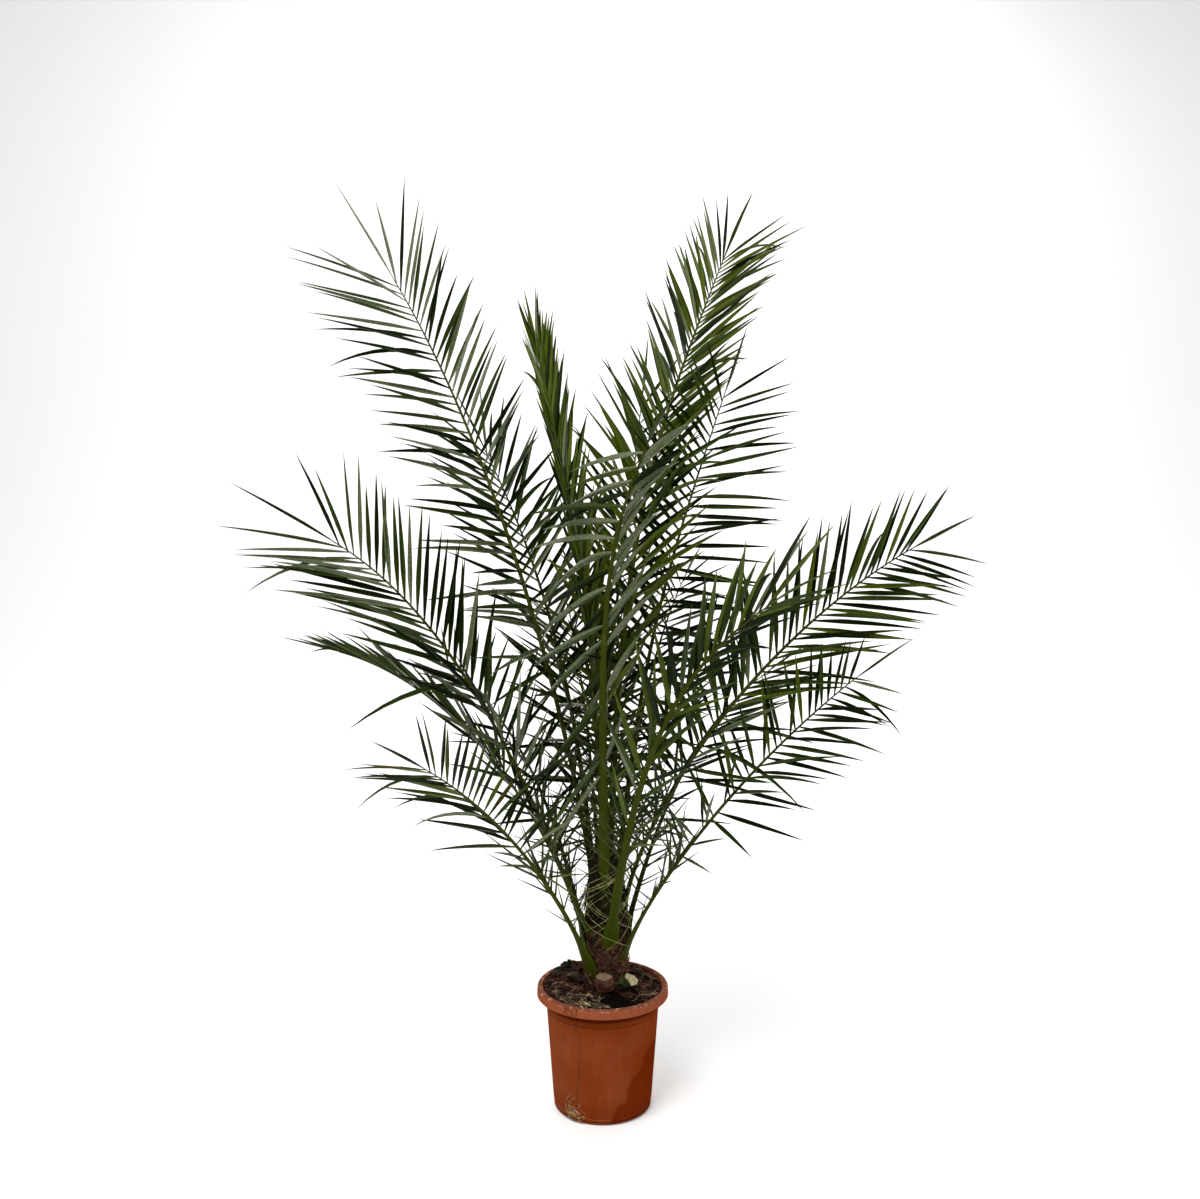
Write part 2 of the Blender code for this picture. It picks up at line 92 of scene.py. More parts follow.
# Pot. A round injection-moulded nursery pot with a deep hanging rim, a ring under the rim, a step
# near its foot and eight drain holes in its floor. The soil and the trunk are turned as it is.
def surface(name, points, faces, finishes, face_finish=None, along=None, sharp=None):
    """A smooth mesh object at the origin, from an array of points and lists of faces.

    It may have a finish number for each face, an attribute that says how far along its line each
    point lies, and an angle in degrees past which an edge is sharp.
    """
    mesh = bpy.data.meshes.new(name)
    mesh.from_pydata(np.asarray(points, float).reshape(-1, 3).tolist(), [], faces)
    for finish in finishes:
        mesh.materials.append(finish.material)
    if face_finish is not None:
        mesh.polygons.foreach_set("material_index", np.asarray(face_finish, np.int32))
    if along is not None:
        layer = mesh.attributes.new("along", "FLOAT", "POINT")
        layer.data.foreach_set("value", np.asarray(along, np.float32).ravel())
    mesh.shade_smooth()
    if sharp:
        mesh.set_sharp_from_angle(angle=math.radians(sharp))
    made = bpy.data.objects.new(name, mesh)
    bpy.context.collection.objects.link(made)
    return made


def rounded(corners, steps=5):
    """Each corner (radius, height, rounding) of a profile becomes a quadratic curve across it."""
    corners = np.asarray(corners, float)
    made = [corners[:1, :2]]
    u = np.linspace(0, 1, steps)[:, None]
    for before, (*corner, rounding), after in zip(corners[:-2, :2], corners[1:-1], corners[2:, :2]):
        back, ahead = before - corner, after - corner
        reach = min(rounding, 0.45 * np.hypot(*back), 0.45 * np.hypot(*ahead))
        start = corner + back / np.hypot(*back) * reach
        end = corner + ahead / np.hypot(*ahead) * reach
        made.append((1 - u) ** 2 * start + 2 * u * (1 - u) * np.array(corner) + u**2 * end)
    return np.concatenate([*made, corners[-1:, :2]])


def turned(profile, steps):
    """A profile of (radius, height) turned about Z, with its two ends closed on the axis."""
    turn = np.arange(steps) * 2 * math.pi / steps
    ring = profile[1:-1]
    x = ring[:, :1] * np.cos(turn)
    y = ring[:, :1] * np.sin(turn)
    z = np.repeat(ring[:, 1:], steps, 1)
    ends = [[0, 0, profile[0, 1]], [0, 0, profile[-1, 1]]]
    points = np.concatenate([np.stack([x, y, z], -1).reshape(-1, 3), ends])
    rows, top, bottom = len(ring), len(points) - 2, len(points) - 1
    row, step = np.meshgrid(np.arange(rows - 1), np.arange(steps), indexing="ij")
    a, b = row * steps + step, row * steps + (step + 1) % steps
    faces = np.stack([a, a + steps, b + steps, b], -1).reshape(-1, 4).tolist()
    last = (rows - 1) * steps
    faces += [[top, k, (k + 1) % steps] for k in range(steps)]
    faces += [[bottom, last + (k + 1) % steps, last + k] for k in range(steps)]
    return points, faces


class Wire:
    """A shader socket in an expression: each operation on it adds a Math node to its finish."""

    def __init__(self, finish, socket):
        self.finish, self.socket = finish, socket

    def __neg__(self):
        return self.math("MULTIPLY", self, -1)

    def math(self, operation, *values):
        return self.finish.node("ShaderNodeMath", {"operation": operation}, dict(enumerate(values)))

    def over(self, floor):
        """The greater of this and a floor."""
        return self.math("MAXIMUM", self, floor)

    def __add__(self, other):
        return self.math("ADD", self, other)

    def __radd__(self, other):
        return self.math("ADD", other, self)

    def __sub__(self, other):
        return self.math("SUBTRACT", self, other)

    def __rsub__(self, other):
        return self.math("SUBTRACT", other, self)

    def __mul__(self, other):
        return self.math("MULTIPLY", self, other)

    def __rmul__(self, other):
        return self.math("MULTIPLY", other, self)

    def between(self, low, high):
        """0 below low, 1 above high, and smooth between them."""
        values = {"Value": self, "From Min": low, "From Max": high}
        return self.finish.node("ShaderNodeMapRange", {"interpolation_type": "SMOOTHSTEP"}, values)


def band(value, low, high, soft):
    """1 where a value lies from low to high, fading out over a soft edge outside them."""
    return value.between(low - soft, low) * (-value).between(-high - soft, -high)


class Finish:
    """One material: a Principled shader with the nodes that feed it."""

    def __init__(self, name, roughness, specular=0.5):
        self.material = bpy.data.materials.new(name)
        self.material.use_nodes = True
        self.tree = self.material.node_tree
        self.shader = self.tree.nodes["Principled BSDF"]
        self.shader.inputs["Roughness"].default_value = roughness
        self.shader.inputs["Specular IOR Level"].default_value = specular
        self.place = self.node("ShaderNodeTexCoord", output="Object")

    def node(self, kind, settings=None, values=None, output=0):
        made = self.tree.nodes.new(kind)
        for key, value in (settings or {}).items():
            setattr(made, key, value)
        for key, value in (values or {}).items():
            self.feed(made.inputs[key], value)
        return Wire(self, made.outputs[output])

    def feed(self, socket, value):
        if isinstance(value, Wire):
            self.tree.links.new(value.socket, socket)
        else:
            socket.default_value = value

    def noise(self, scale, detail=3.0, stretch=(1, 1, 1)):
        """Noise at a scale per metre, drawn out along the axes whose stretch is small."""
        place = self.node("ShaderNodeMapping", None, {"Vector": self.place, "Scale": stretch})
        values = {"Vector": place, "Scale": scale, "Detail": detail}
        return self.node("ShaderNodeTexNoise", None, values)

    def axis(self, name):
        return self.node("ShaderNodeSeparateXYZ", None, {0: self.place}, output=name)

    def mix(self, share, first, second):
        """A colour between two, linear RGB."""
        values = {0: share, 6: opaque(first), 7: opaque(second)}
        return self.node("ShaderNodeMix", {"data_type": "RGBA"}, values, output=2)

    def colour(self, value):
        self.feed(self.shader.inputs["Base Color"], opaque(value))

    def roughness(self, value):
        self.feed(self.shader.inputs["Roughness"], value)

    def bump(self, height, distance, strength=1.0):
        values = {"Height": height, "Distance": distance, "Strength": strength}
        self.feed(self.shader.inputs["Normal"], self.node("ShaderNodeBump", None, values))


def opaque(value):
    return value if isinstance(value, Wire) else (*value, 1.0)


def shade(red, green, blue):
    """A linear colour from the eight-bit one that a screen shows, by the sRGB curve."""
    shares = [value / 255 for value in (red, green, blue)]
    return tuple(((s + 0.055) / 1.055) ** 2.4 if s > 0.04 else s / 12.92 for s in shares)


POT_HEIGHT = 0.285
RIM_RADIUS = 0.150
RIM_DEPTH = 0.022
RIM_INNER_RADIUS = 0.137
NECK_RADIUS = 0.1315
FOOT_RADIUS = 0.1115
POT_WALL = 0.003
POT_FLOOR = 0.004
NECK_HEIGHT = POT_HEIGHT - RIM_DEPTH
DRAIN_HOLES = 8
DRAIN_RADIUS = 0.006
DRAIN_CIRCLE = 0.088
RING_HEIGHT = NECK_HEIGHT - 0.022
UNDER_RIM = POT_HEIGHT - 0.009
FOOT_STEP = 0.018
FOOT_GROOVE = 0.006
POT_STEPS = 160


def pot_radius(height):
    """The outside of the wall, which widens evenly from the foot to the neck."""
    return FOOT_RADIUS + (NECK_RADIUS - FOOT_RADIUS) * height / NECK_HEIGHT


def pot_outline():
    """The pot's section from its floor up the inside, over the rim and down the outside."""
    return [
        (0.0, POT_FLOOR, 0),
        (pot_radius(POT_FLOOR) - POT_WALL, POT_FLOOR, 0.003),
        (NECK_RADIUS - POT_WALL, NECK_HEIGHT, 0.002),
        (RIM_INNER_RADIUS, NECK_HEIGHT + 0.007, 0.002),
        (RIM_INNER_RADIUS, POT_HEIGHT, 0.004),
        (RIM_RADIUS - 0.001, POT_HEIGHT - 0.0005, 0.007),
        (RIM_RADIUS, NECK_HEIGHT, 0.0025),
        (RIM_RADIUS - POT_WALL, NECK_HEIGHT, 0.001),
        (RIM_RADIUS - POT_WALL, UNDER_RIM, 0.002),
        (RIM_INNER_RADIUS + POT_WALL, UNDER_RIM, 0.002),
        (RIM_INNER_RADIUS + POT_WALL, NECK_HEIGHT + 0.004, 0.001),
        (pot_radius(NECK_HEIGHT), NECK_HEIGHT - 0.002, 0.002),
        (pot_radius(RING_HEIGHT) + 0.0018, RING_HEIGHT, 0.0012),
        (pot_radius(RING_HEIGHT) - 0.0016, RING_HEIGHT - 0.0018, 0.0006),
        (pot_radius(0.026), 0.026, 0.004),
        (pot_radius(FOOT_STEP) - 0.0002, FOOT_STEP, 0.003),
        (pot_radius(FOOT_GROOVE) - 0.0016, FOOT_GROOVE, 0.002),
        (pot_radius(0.005) - 0.0004, 0.0045, 0.001),
        (FOOT_RADIUS - 0.006, 0.0, 0.002),
        (0.0, 0.0, 0),
    ]


RING_LINE = NECK_HEIGHT - 0.0285
PATCH_EDGE_SLOPE, PATCH_EDGE_X = 0.53, 0.0134
PATCH_TOP = 0.178


def pot_finish():
    """Terracotta-red plastic, dulled by dust, with a cleaner dark patch low on the right front.

    Lines under the rim, at the ring and at the foot are darkened with painted shade, where shade falls,
    and the lip and the rim's lower edge carry pale rubbed specks mixed with painted highlights.
    """
    finish = Finish("terracotta_plastic", 0.55, 0.0)
    x, y, z = (finish.axis(name) for name in "XYZ")
    streak = finish.noise(60, 3, (1, 1, 0.12))
    dust = finish.noise(11, 4).between(0.35, 0.7) * 0.55 + streak.between(0.5, 0.75) * 0.3
    wander = (finish.noise(22, 5) - 0.5) * 0.05
    edge = z * PATCH_EDGE_SLOPE + PATCH_EDGE_X
    top = (PATCH_TOP - z + wander).between(0, 0.016)
    clean = (x - edge + wander).between(-0.003, 0.009) * (-y).between(-0.03, 0.03) * top
    washed = (0.06 - z + wander).between(0, 0.02) * (0.045 - x).between(0, 0.03) * 0.2
    stroke = finish.noise(190, 1, (1, 1, 0.05)).between(0.70, 0.74)
    stroke = stroke * finish.noise(24, 1).between(0.52, 0.6)
    on_rim = z.between(NECK_HEIGHT - 0.002, NECK_HEIGHT + 0.004)
    # Pale specks on the rim's lower edge and on the lip: partly rubbed wear, partly painted highlight.
    rim_wear_and_glint = finish.noise(420, 2).between(0.62, 0.70) * on_rim
    lip = z.between(POT_HEIGHT - 0.005, POT_HEIGHT - 0.002)
    lip_wear_and_glint = finish.noise(90, 4).between(0.50, 0.68) * z.between(POT_HEIGHT - 0.007, POT_HEIGHT - 0.003)
    # Painted shade: a dark band under the rim, a dark line under the ring with a faint darkening of all
    # above it, and a dark line in the groove near the foot.
    shadow = band(z, NECK_HEIGHT - 0.014, NECK_HEIGHT - 0.002, 0.004) * 0.6
    shadow = shadow + band(z, RING_LINE - 0.0016, RING_LINE - 0.0002, 0.0008) * 0.7
    shadow = shadow + z.between(RING_LINE, RING_LINE + 0.004) * 0.2
    shadow = shadow + band(z, 0.0065, 0.0085, 0.001) * 0.5
    body = finish.mix(dust, shade(114, 48, 16), shade(127, 64, 34))
    # Painted light: the left side, towards the lamp, is made paler.
    body = finish.mix((-x).between(0.05, 0.14) * 0.4, body, shade(136, 78, 54))
    # Painted highlight: a pale line on the rounded edge near the foot.
    body = finish.mix(band(z, 0.011, 0.0135, 0.001) * 0.6, body, shade(150, 86, 60))
    stained = finish.mix(clean * 0.8 + washed, body, shade(96, 30, 3))
    shaded = finish.mix(shadow, stained, shade(60, 12, 1))
    above_neck = z.between(NECK_HEIGHT - 0.001, NECK_HEIGHT + 0.001)
    rim = finish.mix(above_neck, shaded, shade(134, 70, 44))
    rim = finish.mix(lip, rim, shade(108, 64, 48))
    scratched = finish.mix(stroke * 0.5, rim, shade(80, 22, 4))
    # The pale specks are rubbed wear mixed with painted highlights.
    finish.colour(finish.mix(rim_wear_and_glint * 0.4 + lip_wear_and_glint * 0.6, scratched, shade(190, 138, 112)))
    finish.roughness(0.45 + dust * 0.25 - clean * 0.08)
    finish.bump(finish.noise(900, 2) * 0.25 + streak * 0.2, 0.0004, 0.4)
    return finish


def drilled(pot):
    """The drain holes cut through the pot's floor."""
    bm = bmesh.new()
    drill = {"segments": 24, "radius1": DRAIN_RADIUS, "radius2": DRAIN_RADIUS, "depth": POT_FLOOR * 2}
    for turn in np.arange(DRAIN_HOLES) * 2 * math.pi / DRAIN_HOLES:
        made = bmesh.ops.create_cone(bm, cap_ends=True, **drill)
        place = (DRAIN_CIRCLE * math.cos(turn), DRAIN_CIRCLE * math.sin(turn), POT_FLOOR / 2)
        bmesh.ops.translate(bm, verts=made["verts"], vec=place)
    mesh = bpy.data.meshes.new("drills")
    bm.to_mesh(mesh)
    bm.free()
    drills = bpy.data.objects.new("drills", mesh)
    bpy.context.collection.objects.link(drills)
    cut = pot.modifiers.new("drain", "BOOLEAN")
    cut.operation = "DIFFERENCE"
    cut.solver = "EXACT"
    cut.object = drills
    graph = bpy.context.evaluated_depsgraph_get()
    pot.data = bpy.data.meshes.new_from_object(pot.evaluated_get(graph))
    pot.modifiers.clear()
    bpy.data.objects.remove(drills, do_unlink=True)


points, faces = turned(rounded(pot_outline())[::-1], POT_STEPS)
pot = surface("moulded_pot", points, faces, [pot_finish()], sharp=40)
drilled(pot)
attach(pot, "root")
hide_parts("pot")

# Soil. Dark peat with bark, filled to just under the rim, lumpy, higher round the trunk and
# sunk in a hollow at the front right, which painted shade makes near black.
SOIL_EDGE_HEIGHT = 0.271
SOIL_EDGE = 0.1352
SOIL_TOP = 0.279
SOIL_PLATEAU = 0.085
WALL_GAP = 0.0004
HOLLOW_PLACE = (0.030, -0.095)
HOLLOW_REACH = (0.045, 0.030)
HOLLOW_DEPTH = 0.014
HOLLOW_SHADE_PLACE = (0.030, -0.090)
SOIL_STEPS = 200


def waves(points, scale, seed, count=24):
    """Smooth noise between about -1 and 1: sines along random directions, added up."""
    rng = np.random.default_rng(seed)
    along = rng.normal(size=(count, 3))
    along *= scale * 2 * math.pi / np.linalg.norm(along, axis=1, keepdims=True)
    return np.sin(points @ along.T + rng.uniform(0, 2 * math.pi, count)).sum(-1) / math.sqrt(count)


def soil_height(x, y):
    """The soil's level: a low mound, banked up at the back and left, hollow at the front right.

    Added up are the mound, three sizes of lumps, two banks, and less the hollow, which falls off
    with the exponential of minus the square of the distance.
    """
    reach = np.hypot(x, y)
    level = np.interp(reach, [SOIL_PLATEAU, SOIL_EDGE], [SOIL_TOP, SOIL_EDGE_HEIGHT])
    flat = np.stack([x, y, 0 * x], -1)
    lumps = 0.0022 * waves(flat, 24, 1) + 0.0013 * waves(flat, 70, 2) + 0.0007 * waves(flat, 180, 3)
    back = 0.010 * np.clip((y - 0.02) / 0.08, 0, 1)
    left = 0.010 * np.clip(-x / 0.1, 0, 1) * np.clip((y + 0.06) / 0.06, 0, 1)
    aside = (x - HOLLOW_PLACE[0]) / HOLLOW_REACH[0]
    ahead = (y - HOLLOW_PLACE[1]) / HOLLOW_REACH[1]
    return level + lumps + (back + left) - HOLLOW_DEPTH * np.exp(-(aside**2) - ahead**2)


def soil_finish():
    """Moist peat: near black between the crumbs, brown on them, pale specks; darker towards the right,
    and painted shade near black in the hollow.
    """
    finish = Finish("peat", 0.95, 0.08)
    crumbs = finish.noise(160, 6)
    speck = finish.noise(520, 2).between(0.66, 0.72)
    x, y = finish.axis("X"), finish.axis("Y")
    aside, ahead = (x - HOLLOW_SHADE_PLACE[0]) * 19, (y - HOLLOW_SHADE_PLACE[1]) * 25
    # Painted shade: the hollow at the front right is painted near black.
    deep = (1.25 - aside * aside - ahead * ahead).between(0, 0.5)
    # Darker towards the right.
    right_darkening = x.between(-0.02, 0.08) * 0.6
    tone = finish.mix(crumbs.between(0.42, 0.72), shade(10, 4, 2), shade(86, 52, 36))
    tone = finish.mix(speck * 0.6, tone, shade(126, 100, 78))
    finish.colour(finish.mix((deep * 0.95).over(right_darkening), tone, shade(5, 2, 1)))
    finish.bump(crumbs * 0.8 + finish.noise(500, 4) * 0.5, 0.006)
    return finish


def soil_shape():
    """A polar grid over the top, then the sloping side and the flat bottom, as one closed skin."""
    bottom = POT_FLOOR + WALL_GAP
    inside = POT_WALL + WALL_GAP
    top = [(radius, SOIL_TOP) for radius in np.linspace(0.004, SOIL_EDGE, 62)]
    side = [(NECK_RADIUS - inside, NECK_HEIGHT - 0.001), (pot_radius(bottom) - inside, bottom)]
    points, faces = turned(np.array([(0, SOIL_TOP), *top, *side, (0, bottom)]), SOIL_STEPS)
    top = points[:, 2] > SOIL_TOP - 0.001
    points[top, 2] = soil_height(points[top, 0], points[top, 1])
    return points, faces


points, faces = soil_shape()
soil = surface("potting_soil", points, faces, [soil_finish()], sharp=50)
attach(soil, "root")
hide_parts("soil")

# Trunk. A short stem hidden in the broad bases of its old leaves, wound in coarse brown fibre,
# set in the soil and drawn in above to the point where the youngest fronds leave it.
TRUNK_HEIGHTS = (0.2683, 0.300, 0.360, 0.430, 0.500, 0.570, 0.630, 0.650)
TRUNK_RADII = (0.044, 0.047, 0.045, 0.041, 0.034, 0.025, 0.013, 0.001)
TRUNK_PLACE = (0.008, 0.008, 0.0)
TRUNK_TOP, TRUNK_BOTTOM = 0.650, 0.262
TRUNK_ROWS, TRUNK_STEPS = 150, 220
SCALE_TURNS, SCALE_RISE = 7, 0.062


def trunk_radius(height):
    """The stem's radius at a height, straight from one named height to the next."""
    return np.interp(height, TRUNK_HEIGHTS, TRUNK_RADII)


def trunk_shape():
    """Overlapping scales in two crossing spirals, and hairy ridges along Z, raised on the profile.

    A scale's height is the product of two sines, of the turn plus the rise and of the turn less it.
    """
    heights = np.linspace(TRUNK_TOP, TRUNK_BOTTOM, TRUNK_ROWS)
    wall = np.stack([trunk_radius(heights), heights], -1)
    points, faces = turned(np.concatenate([[[0, TRUNK_TOP]], wall, [[0, TRUNK_BOTTOM]]]), TRUNK_STEPS)
    turn = np.arctan2(points[:, 1], points[:, 0]) / (2 * math.pi) * SCALE_TURNS
    rise = points[:, 2] / SCALE_RISE
    scale = np.abs(np.sin(math.pi * (turn + rise))) * np.abs(np.sin(math.pi * (turn - rise)))
    hair = waves(points * (1, 1, 0.12), 130, 5) * 0.0007 + waves(points, 45, 6) * 0.0012
    reach = np.hypot(points[:, 0], points[:, 1])
    grown = reach * (0.93 + 0.075 * scale) + hair * np.minimum(1, reach / 0.02)
    share = np.divide(grown, reach, out=np.ones_like(reach), where=reach > 1e-6)
    points[:, :2] *= share[:, None]
    return points + TRUNK_PLACE, faces


def trunk_finish():
    """Fibre with tan hairs that run upwards, brown low down and near black above."""
    finish = Finish("leaf_base_fibre", 0.9, 0.25)
    hairs = finish.noise(420, 4, (1, 1, 0.07))
    patch = finish.noise(30, 4)
    height = finish.axis("Z").between(0.33, 0.42)
    low = finish.mix(patch.between(0.35, 0.65), shade(34, 15, 8), shade(78, 42, 30))
    high = finish.mix(patch.between(0.35, 0.65), shade(8, 6, 2), shade(26, 20, 8))
    fibre = finish.mix(height, low, high)
    finish.colour(finish.mix(hairs.between(0.55, 0.75) * 0.4, fibre, shade(104, 78, 50)))
    finish.bump(hairs, 0.004)
    return finish


points, faces = trunk_shape()
trunk = surface("fibrous_stem", points, faces, [trunk_finish()])
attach(trunk, "root")
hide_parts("trunk")

# Fronds. Feather leaves that rise from all round the trunk and arch over, the oldest lowest.
# Each rib is broad and channelled at its foot and tapers to its tip, and carries two rows of
# long leaflets folded upwards along their middle, shorter and stiffer near the foot.
BLADE_START = 0.25
TIP_PULL = 0.38
RIB_SINK = 0.006
RIB_SAMPLES = 400
ROLL_BEGINS, ROLL_ENDS = 0.4, 0.75
# Name, foot's turn in degrees from +X, foot's height, swing of the tip from the foot's turn, tip's
# reach from the pot's axis, tip's height, rise at the foot, rise at the tip, how far the foot's
# direction holds as a share of the way, roll of the blade, width of the stalk.
FRONDS = (
    ("frond_low_left", 222, 0.312, -22, 0.408, 0.822, 72, 33, 0.22, -50, 1.0),
    ("frond_low_right", 340, 0.335, 13, 0.556, 1.006, 84, 40, 0.15, -65, 0.9),
    ("frond_low_back_right", 48, 0.320, -6, 0.55, 0.94, 68, 20, 0.38, -20, 0.9),
    ("frond_low_back", 98, 0.325, 0, 0.60, 1.04, 70, 22, 0.38, 0, 0.9),
    ("frond_low_back_left", 146, 0.310, -4, 0.50, 0.98, 76, 22, 0.38, 10, 0.9),
    ("frond_left_behind", 176, 0.345, 3, 0.589, 1.051, 83, 15, 0.21, -5, 0.9),
    ("frond_right", 20, 0.400, -15, 0.704, 1.281, 90, 29, 0.21, -70, 1.1),
    ("frond_back_right", 72, 0.380, -2, 0.64, 1.16, 72, 28, 0.38, -20, 1.0),
    ("frond_front_right", 282, 0.385, 25, 0.528, 1.209, 65, 30, 0.50, 30, 1.6),
    ("frond_left", 206, 0.404, -23, 0.588, 1.300, 53, 31, 0.08, 70, 1.1),
    ("frond_back_left", 122, 0.410, 4, 0.50, 1.50, 82, 46, 0.38, 30, 1.1),
    ("frond_right_upright", 52, 0.470, -13, 0.371, 1.634, 80, 66, 0.50, -40, 1.1),
    ("frond_front", 264, 0.447, 28, 0.24, 1.51, 88, 42, 0.50, 45, 2.0),
    ("frond_upper_left", 152, 0.484, -14, 0.703, 1.923, 83, 49, 0.20, 40, 1.3),
    ("frond_upper_right", 64, 0.532, -4, 0.623, 1.988, 88, 50, 0.50, -25, 1.5),
    ("frond_centre_back", 104, 0.505, -28, 0.40, 1.62, 80, 66, 0.38, -10, 1.0),
    ("frond_young", 125, 0.578, -10, 0.373, 1.734, 88, 62, 0.50, 25, 1.2),
)
# Name: size, spread and spread at the tip of the left-hand leaflets as seen from the trunk, then of
# the right-hand ones, length of the last ones and of the one at the tip, droop, density, and the
# shares of grey leaflets, whose grey is a painted sky reflection, of yellow and of dry leaflets.
BLADES = {
    "frond_low_left": (0.62, 1.25, 1.0, 0.84, 0.85, 2.0, 1.0, 0.5, 0.06, 1.3, 0.08, 0.25, 0.25),
    "frond_low_right": (0.70, 1.0, 1.0, 0.80, 0.95, 2.0, 0.6, 0.6, 0.05, 1.0, 0.1, 0.05, 0.03),
    "frond_low_back_right": (0.80, 1.0, 1.0, 0.80, 1.0, 1.0, 0.8, 0.7, 0.03, 0.65, 0.1, 0.0, 0.03),
    "frond_low_back": (0.85, 1.0, 1.0, 0.85, 1.0, 1.0, 0.8, 0.7, 0.03, 0.7, 0.1, 0.0, 0.03),
    "frond_low_back_left": (0.75, 1.0, 1.0, 0.75, 1.0, 1.0, 0.8, 0.7, 0.03, 0.65, 0.1, 0.0, 0.03),
    "frond_left_behind": (0.74, 0.45, 1.0, 0.70, 0.40, 1.0, 0.65, 0.5, 0.03, 1.0, 0.1, 0.1, 0.05),
    "frond_right": (0.94, 0.78, 1.2, 0.96, 0.82, 2.0, 0.7, 0.6, 0.03, 1.0, 0.15, 0.1, 0.0),
    "frond_back_right": (0.78, 1.0, 1.0, 0.78, 1.0, 1.0, 0.8, 0.7, 0.03, 0.6, 0.1, 0.0, 0.0),
    "frond_front_right": (0.60, 0.6, 1.8, 0.85, 0.5, 0.8, 1.25, 0.75, 0.05, 0.85, 0.05, 0.4, 0.0),
    "frond_left": (1.1, 0.75, 1.3, 0.92, 0.82, 1.75, 0.93, 0.95, 0.03, 0.93, 0.2, 0.0, 0.0),
    "frond_back_left": (0.90, 0.8, 1.0, 0.90, 0.8, 1.0, 0.9, 0.8, 0.03, 0.7, 0.05, 0.0, 0.0),
    "frond_right_upright": (0.84, 1.1, 1.0, 0.88, 1.35, 1.3, 0.8, 0.65, 0.03, 0.85, 0.05, 0.0, 0.0),
    "frond_front": (0.74, 0.45, 1.0, 1.0, 2.25, 2.5, 0.9, 0.6, 0.12, 0.5, 0.7, 0.1, 0.0),
    "frond_upper_left": (0.90, 1.3, 1.1, 0.85, 0.85, 1.0, 1.3, 1.35, 0.03, 0.8, 0.5, 0.0, 0.0),
    "frond_upper_right": (0.88, 0.62, 1.15, 0.92, 0.66, 1.9, 1.0, 1.05, 0.03, 1.1, 0.1, 0.75, 0.0),
    "frond_centre_back": (0.90, 0.9, 1.0, 0.90, 0.9, 1.0, 0.8, 0.7, 0.03, 0.5, 0.1, 0.5, 0.0),
    "frond_young": (0.75, 0.10, 1.0, 0.80, 0.30, 1.0, 0.9, 0.7, 0.02, 1.7, 0.1, 0.55, 0.0),
}
# Along a rib's broad foot: distance from its end, then width and thickness as shares of the
# trunk's radius there. The feet high on the trunk are narrower.
RIB_FOOT = ((0.0, 1.05, 0.24), (0.05, 0.95, 0.22), (0.09, 0.54, 0.22))
STALK_START, STALK_SHARES = 0.12, (0.34, 0.20)
HIGH_FOOT, HIGH_FOOT_SHARE = (0.36, 0.42), (1.0, 0.75)
BLADE_START_SIZE = (0.0112, 0.008)
TIP_SIZE = (0.0026, 0.002)


def unit(rows):
    """Each row's vector divided by its length."""
    return rows / np.linalg.norm(rows, axis=-1, keepdims=True)


def heading(turn, rise):
    """The unit direction at a turn about Z from +X and a rise above level, both in degrees."""
    turn, rise = math.radians(turn), math.radians(rise)
    return np.array([math.cos(turn) * math.cos(rise), math.sin(turn) * math.cos(rise), math.sin(rise)])


class Rib:
    """A rib's middle line: a cubic Bezier curve from foot to tip, read by distance along it."""

    def __init__(self, turn, foot, swing, reach, top, rise, fall, pull, roll):
        start = heading(turn, 0) * (trunk_radius(foot) - RIB_SINK) + (0, 0, foot) + TRUNK_PLACE
        end = heading(turn + swing, 0) * reach + (0, 0, top)
        way = np.linalg.norm(end - start)
        second = start + pull * way * heading(turn, rise)
        third = end - TIP_PULL * way * heading(turn + swing, fall)
        u = np.linspace(0, 1, RIB_SAMPLES)[:, None]
        keep = 1 - u
        self.points = keep**3 * start + 3 * u * keep**2 * second + 3 * u**2 * keep * third + u**3 * end
        steps = np.linalg.norm(np.diff(self.points, axis=0), axis=1)
        self.distances = np.concatenate([[0], np.cumsum(steps)])
        self.length = self.distances[-1]
        self.turn, self.swing, self.roll = turn, swing, roll

    def point(self, distances):
        inside = np.clip(distances, 0, self.length)
        return np.stack([np.interp(inside, self.distances, self.points[:, k]) for k in range(3)], -1)

    def at(self, distances):
        """Points, directions along the rib, and its side and upper face, rolled towards the tip.

        The roll grows as 3 s squared less 2 s cubed, where s is the share of the way between the
        distances where it begins and ends.
        """
        nudge = 0.002 * self.length
        along = unit(self.point(distances + nudge) - self.point(distances - nudge))
        turn = np.radians(self.turn + self.swing * distances / self.length)
        side = np.stack([np.sin(turn), -np.cos(turn), 0 * turn], -1)
        side = unit(side - (side * along).sum(-1, keepdims=True) * along)
        face = np.cross(side, along)
        first = ROLL_BEGINS * BLADE_START
        share = np.clip((distances - first) / (ROLL_ENDS * self.length - first), 0, 1)
        roll = (np.radians(self.roll) * (share**2 * (3 - 2 * share)))[:, None]
        rolled = side * np.cos(roll) + face * np.sin(roll)
        return self.point(distances), along, rolled, np.cross(rolled, along)


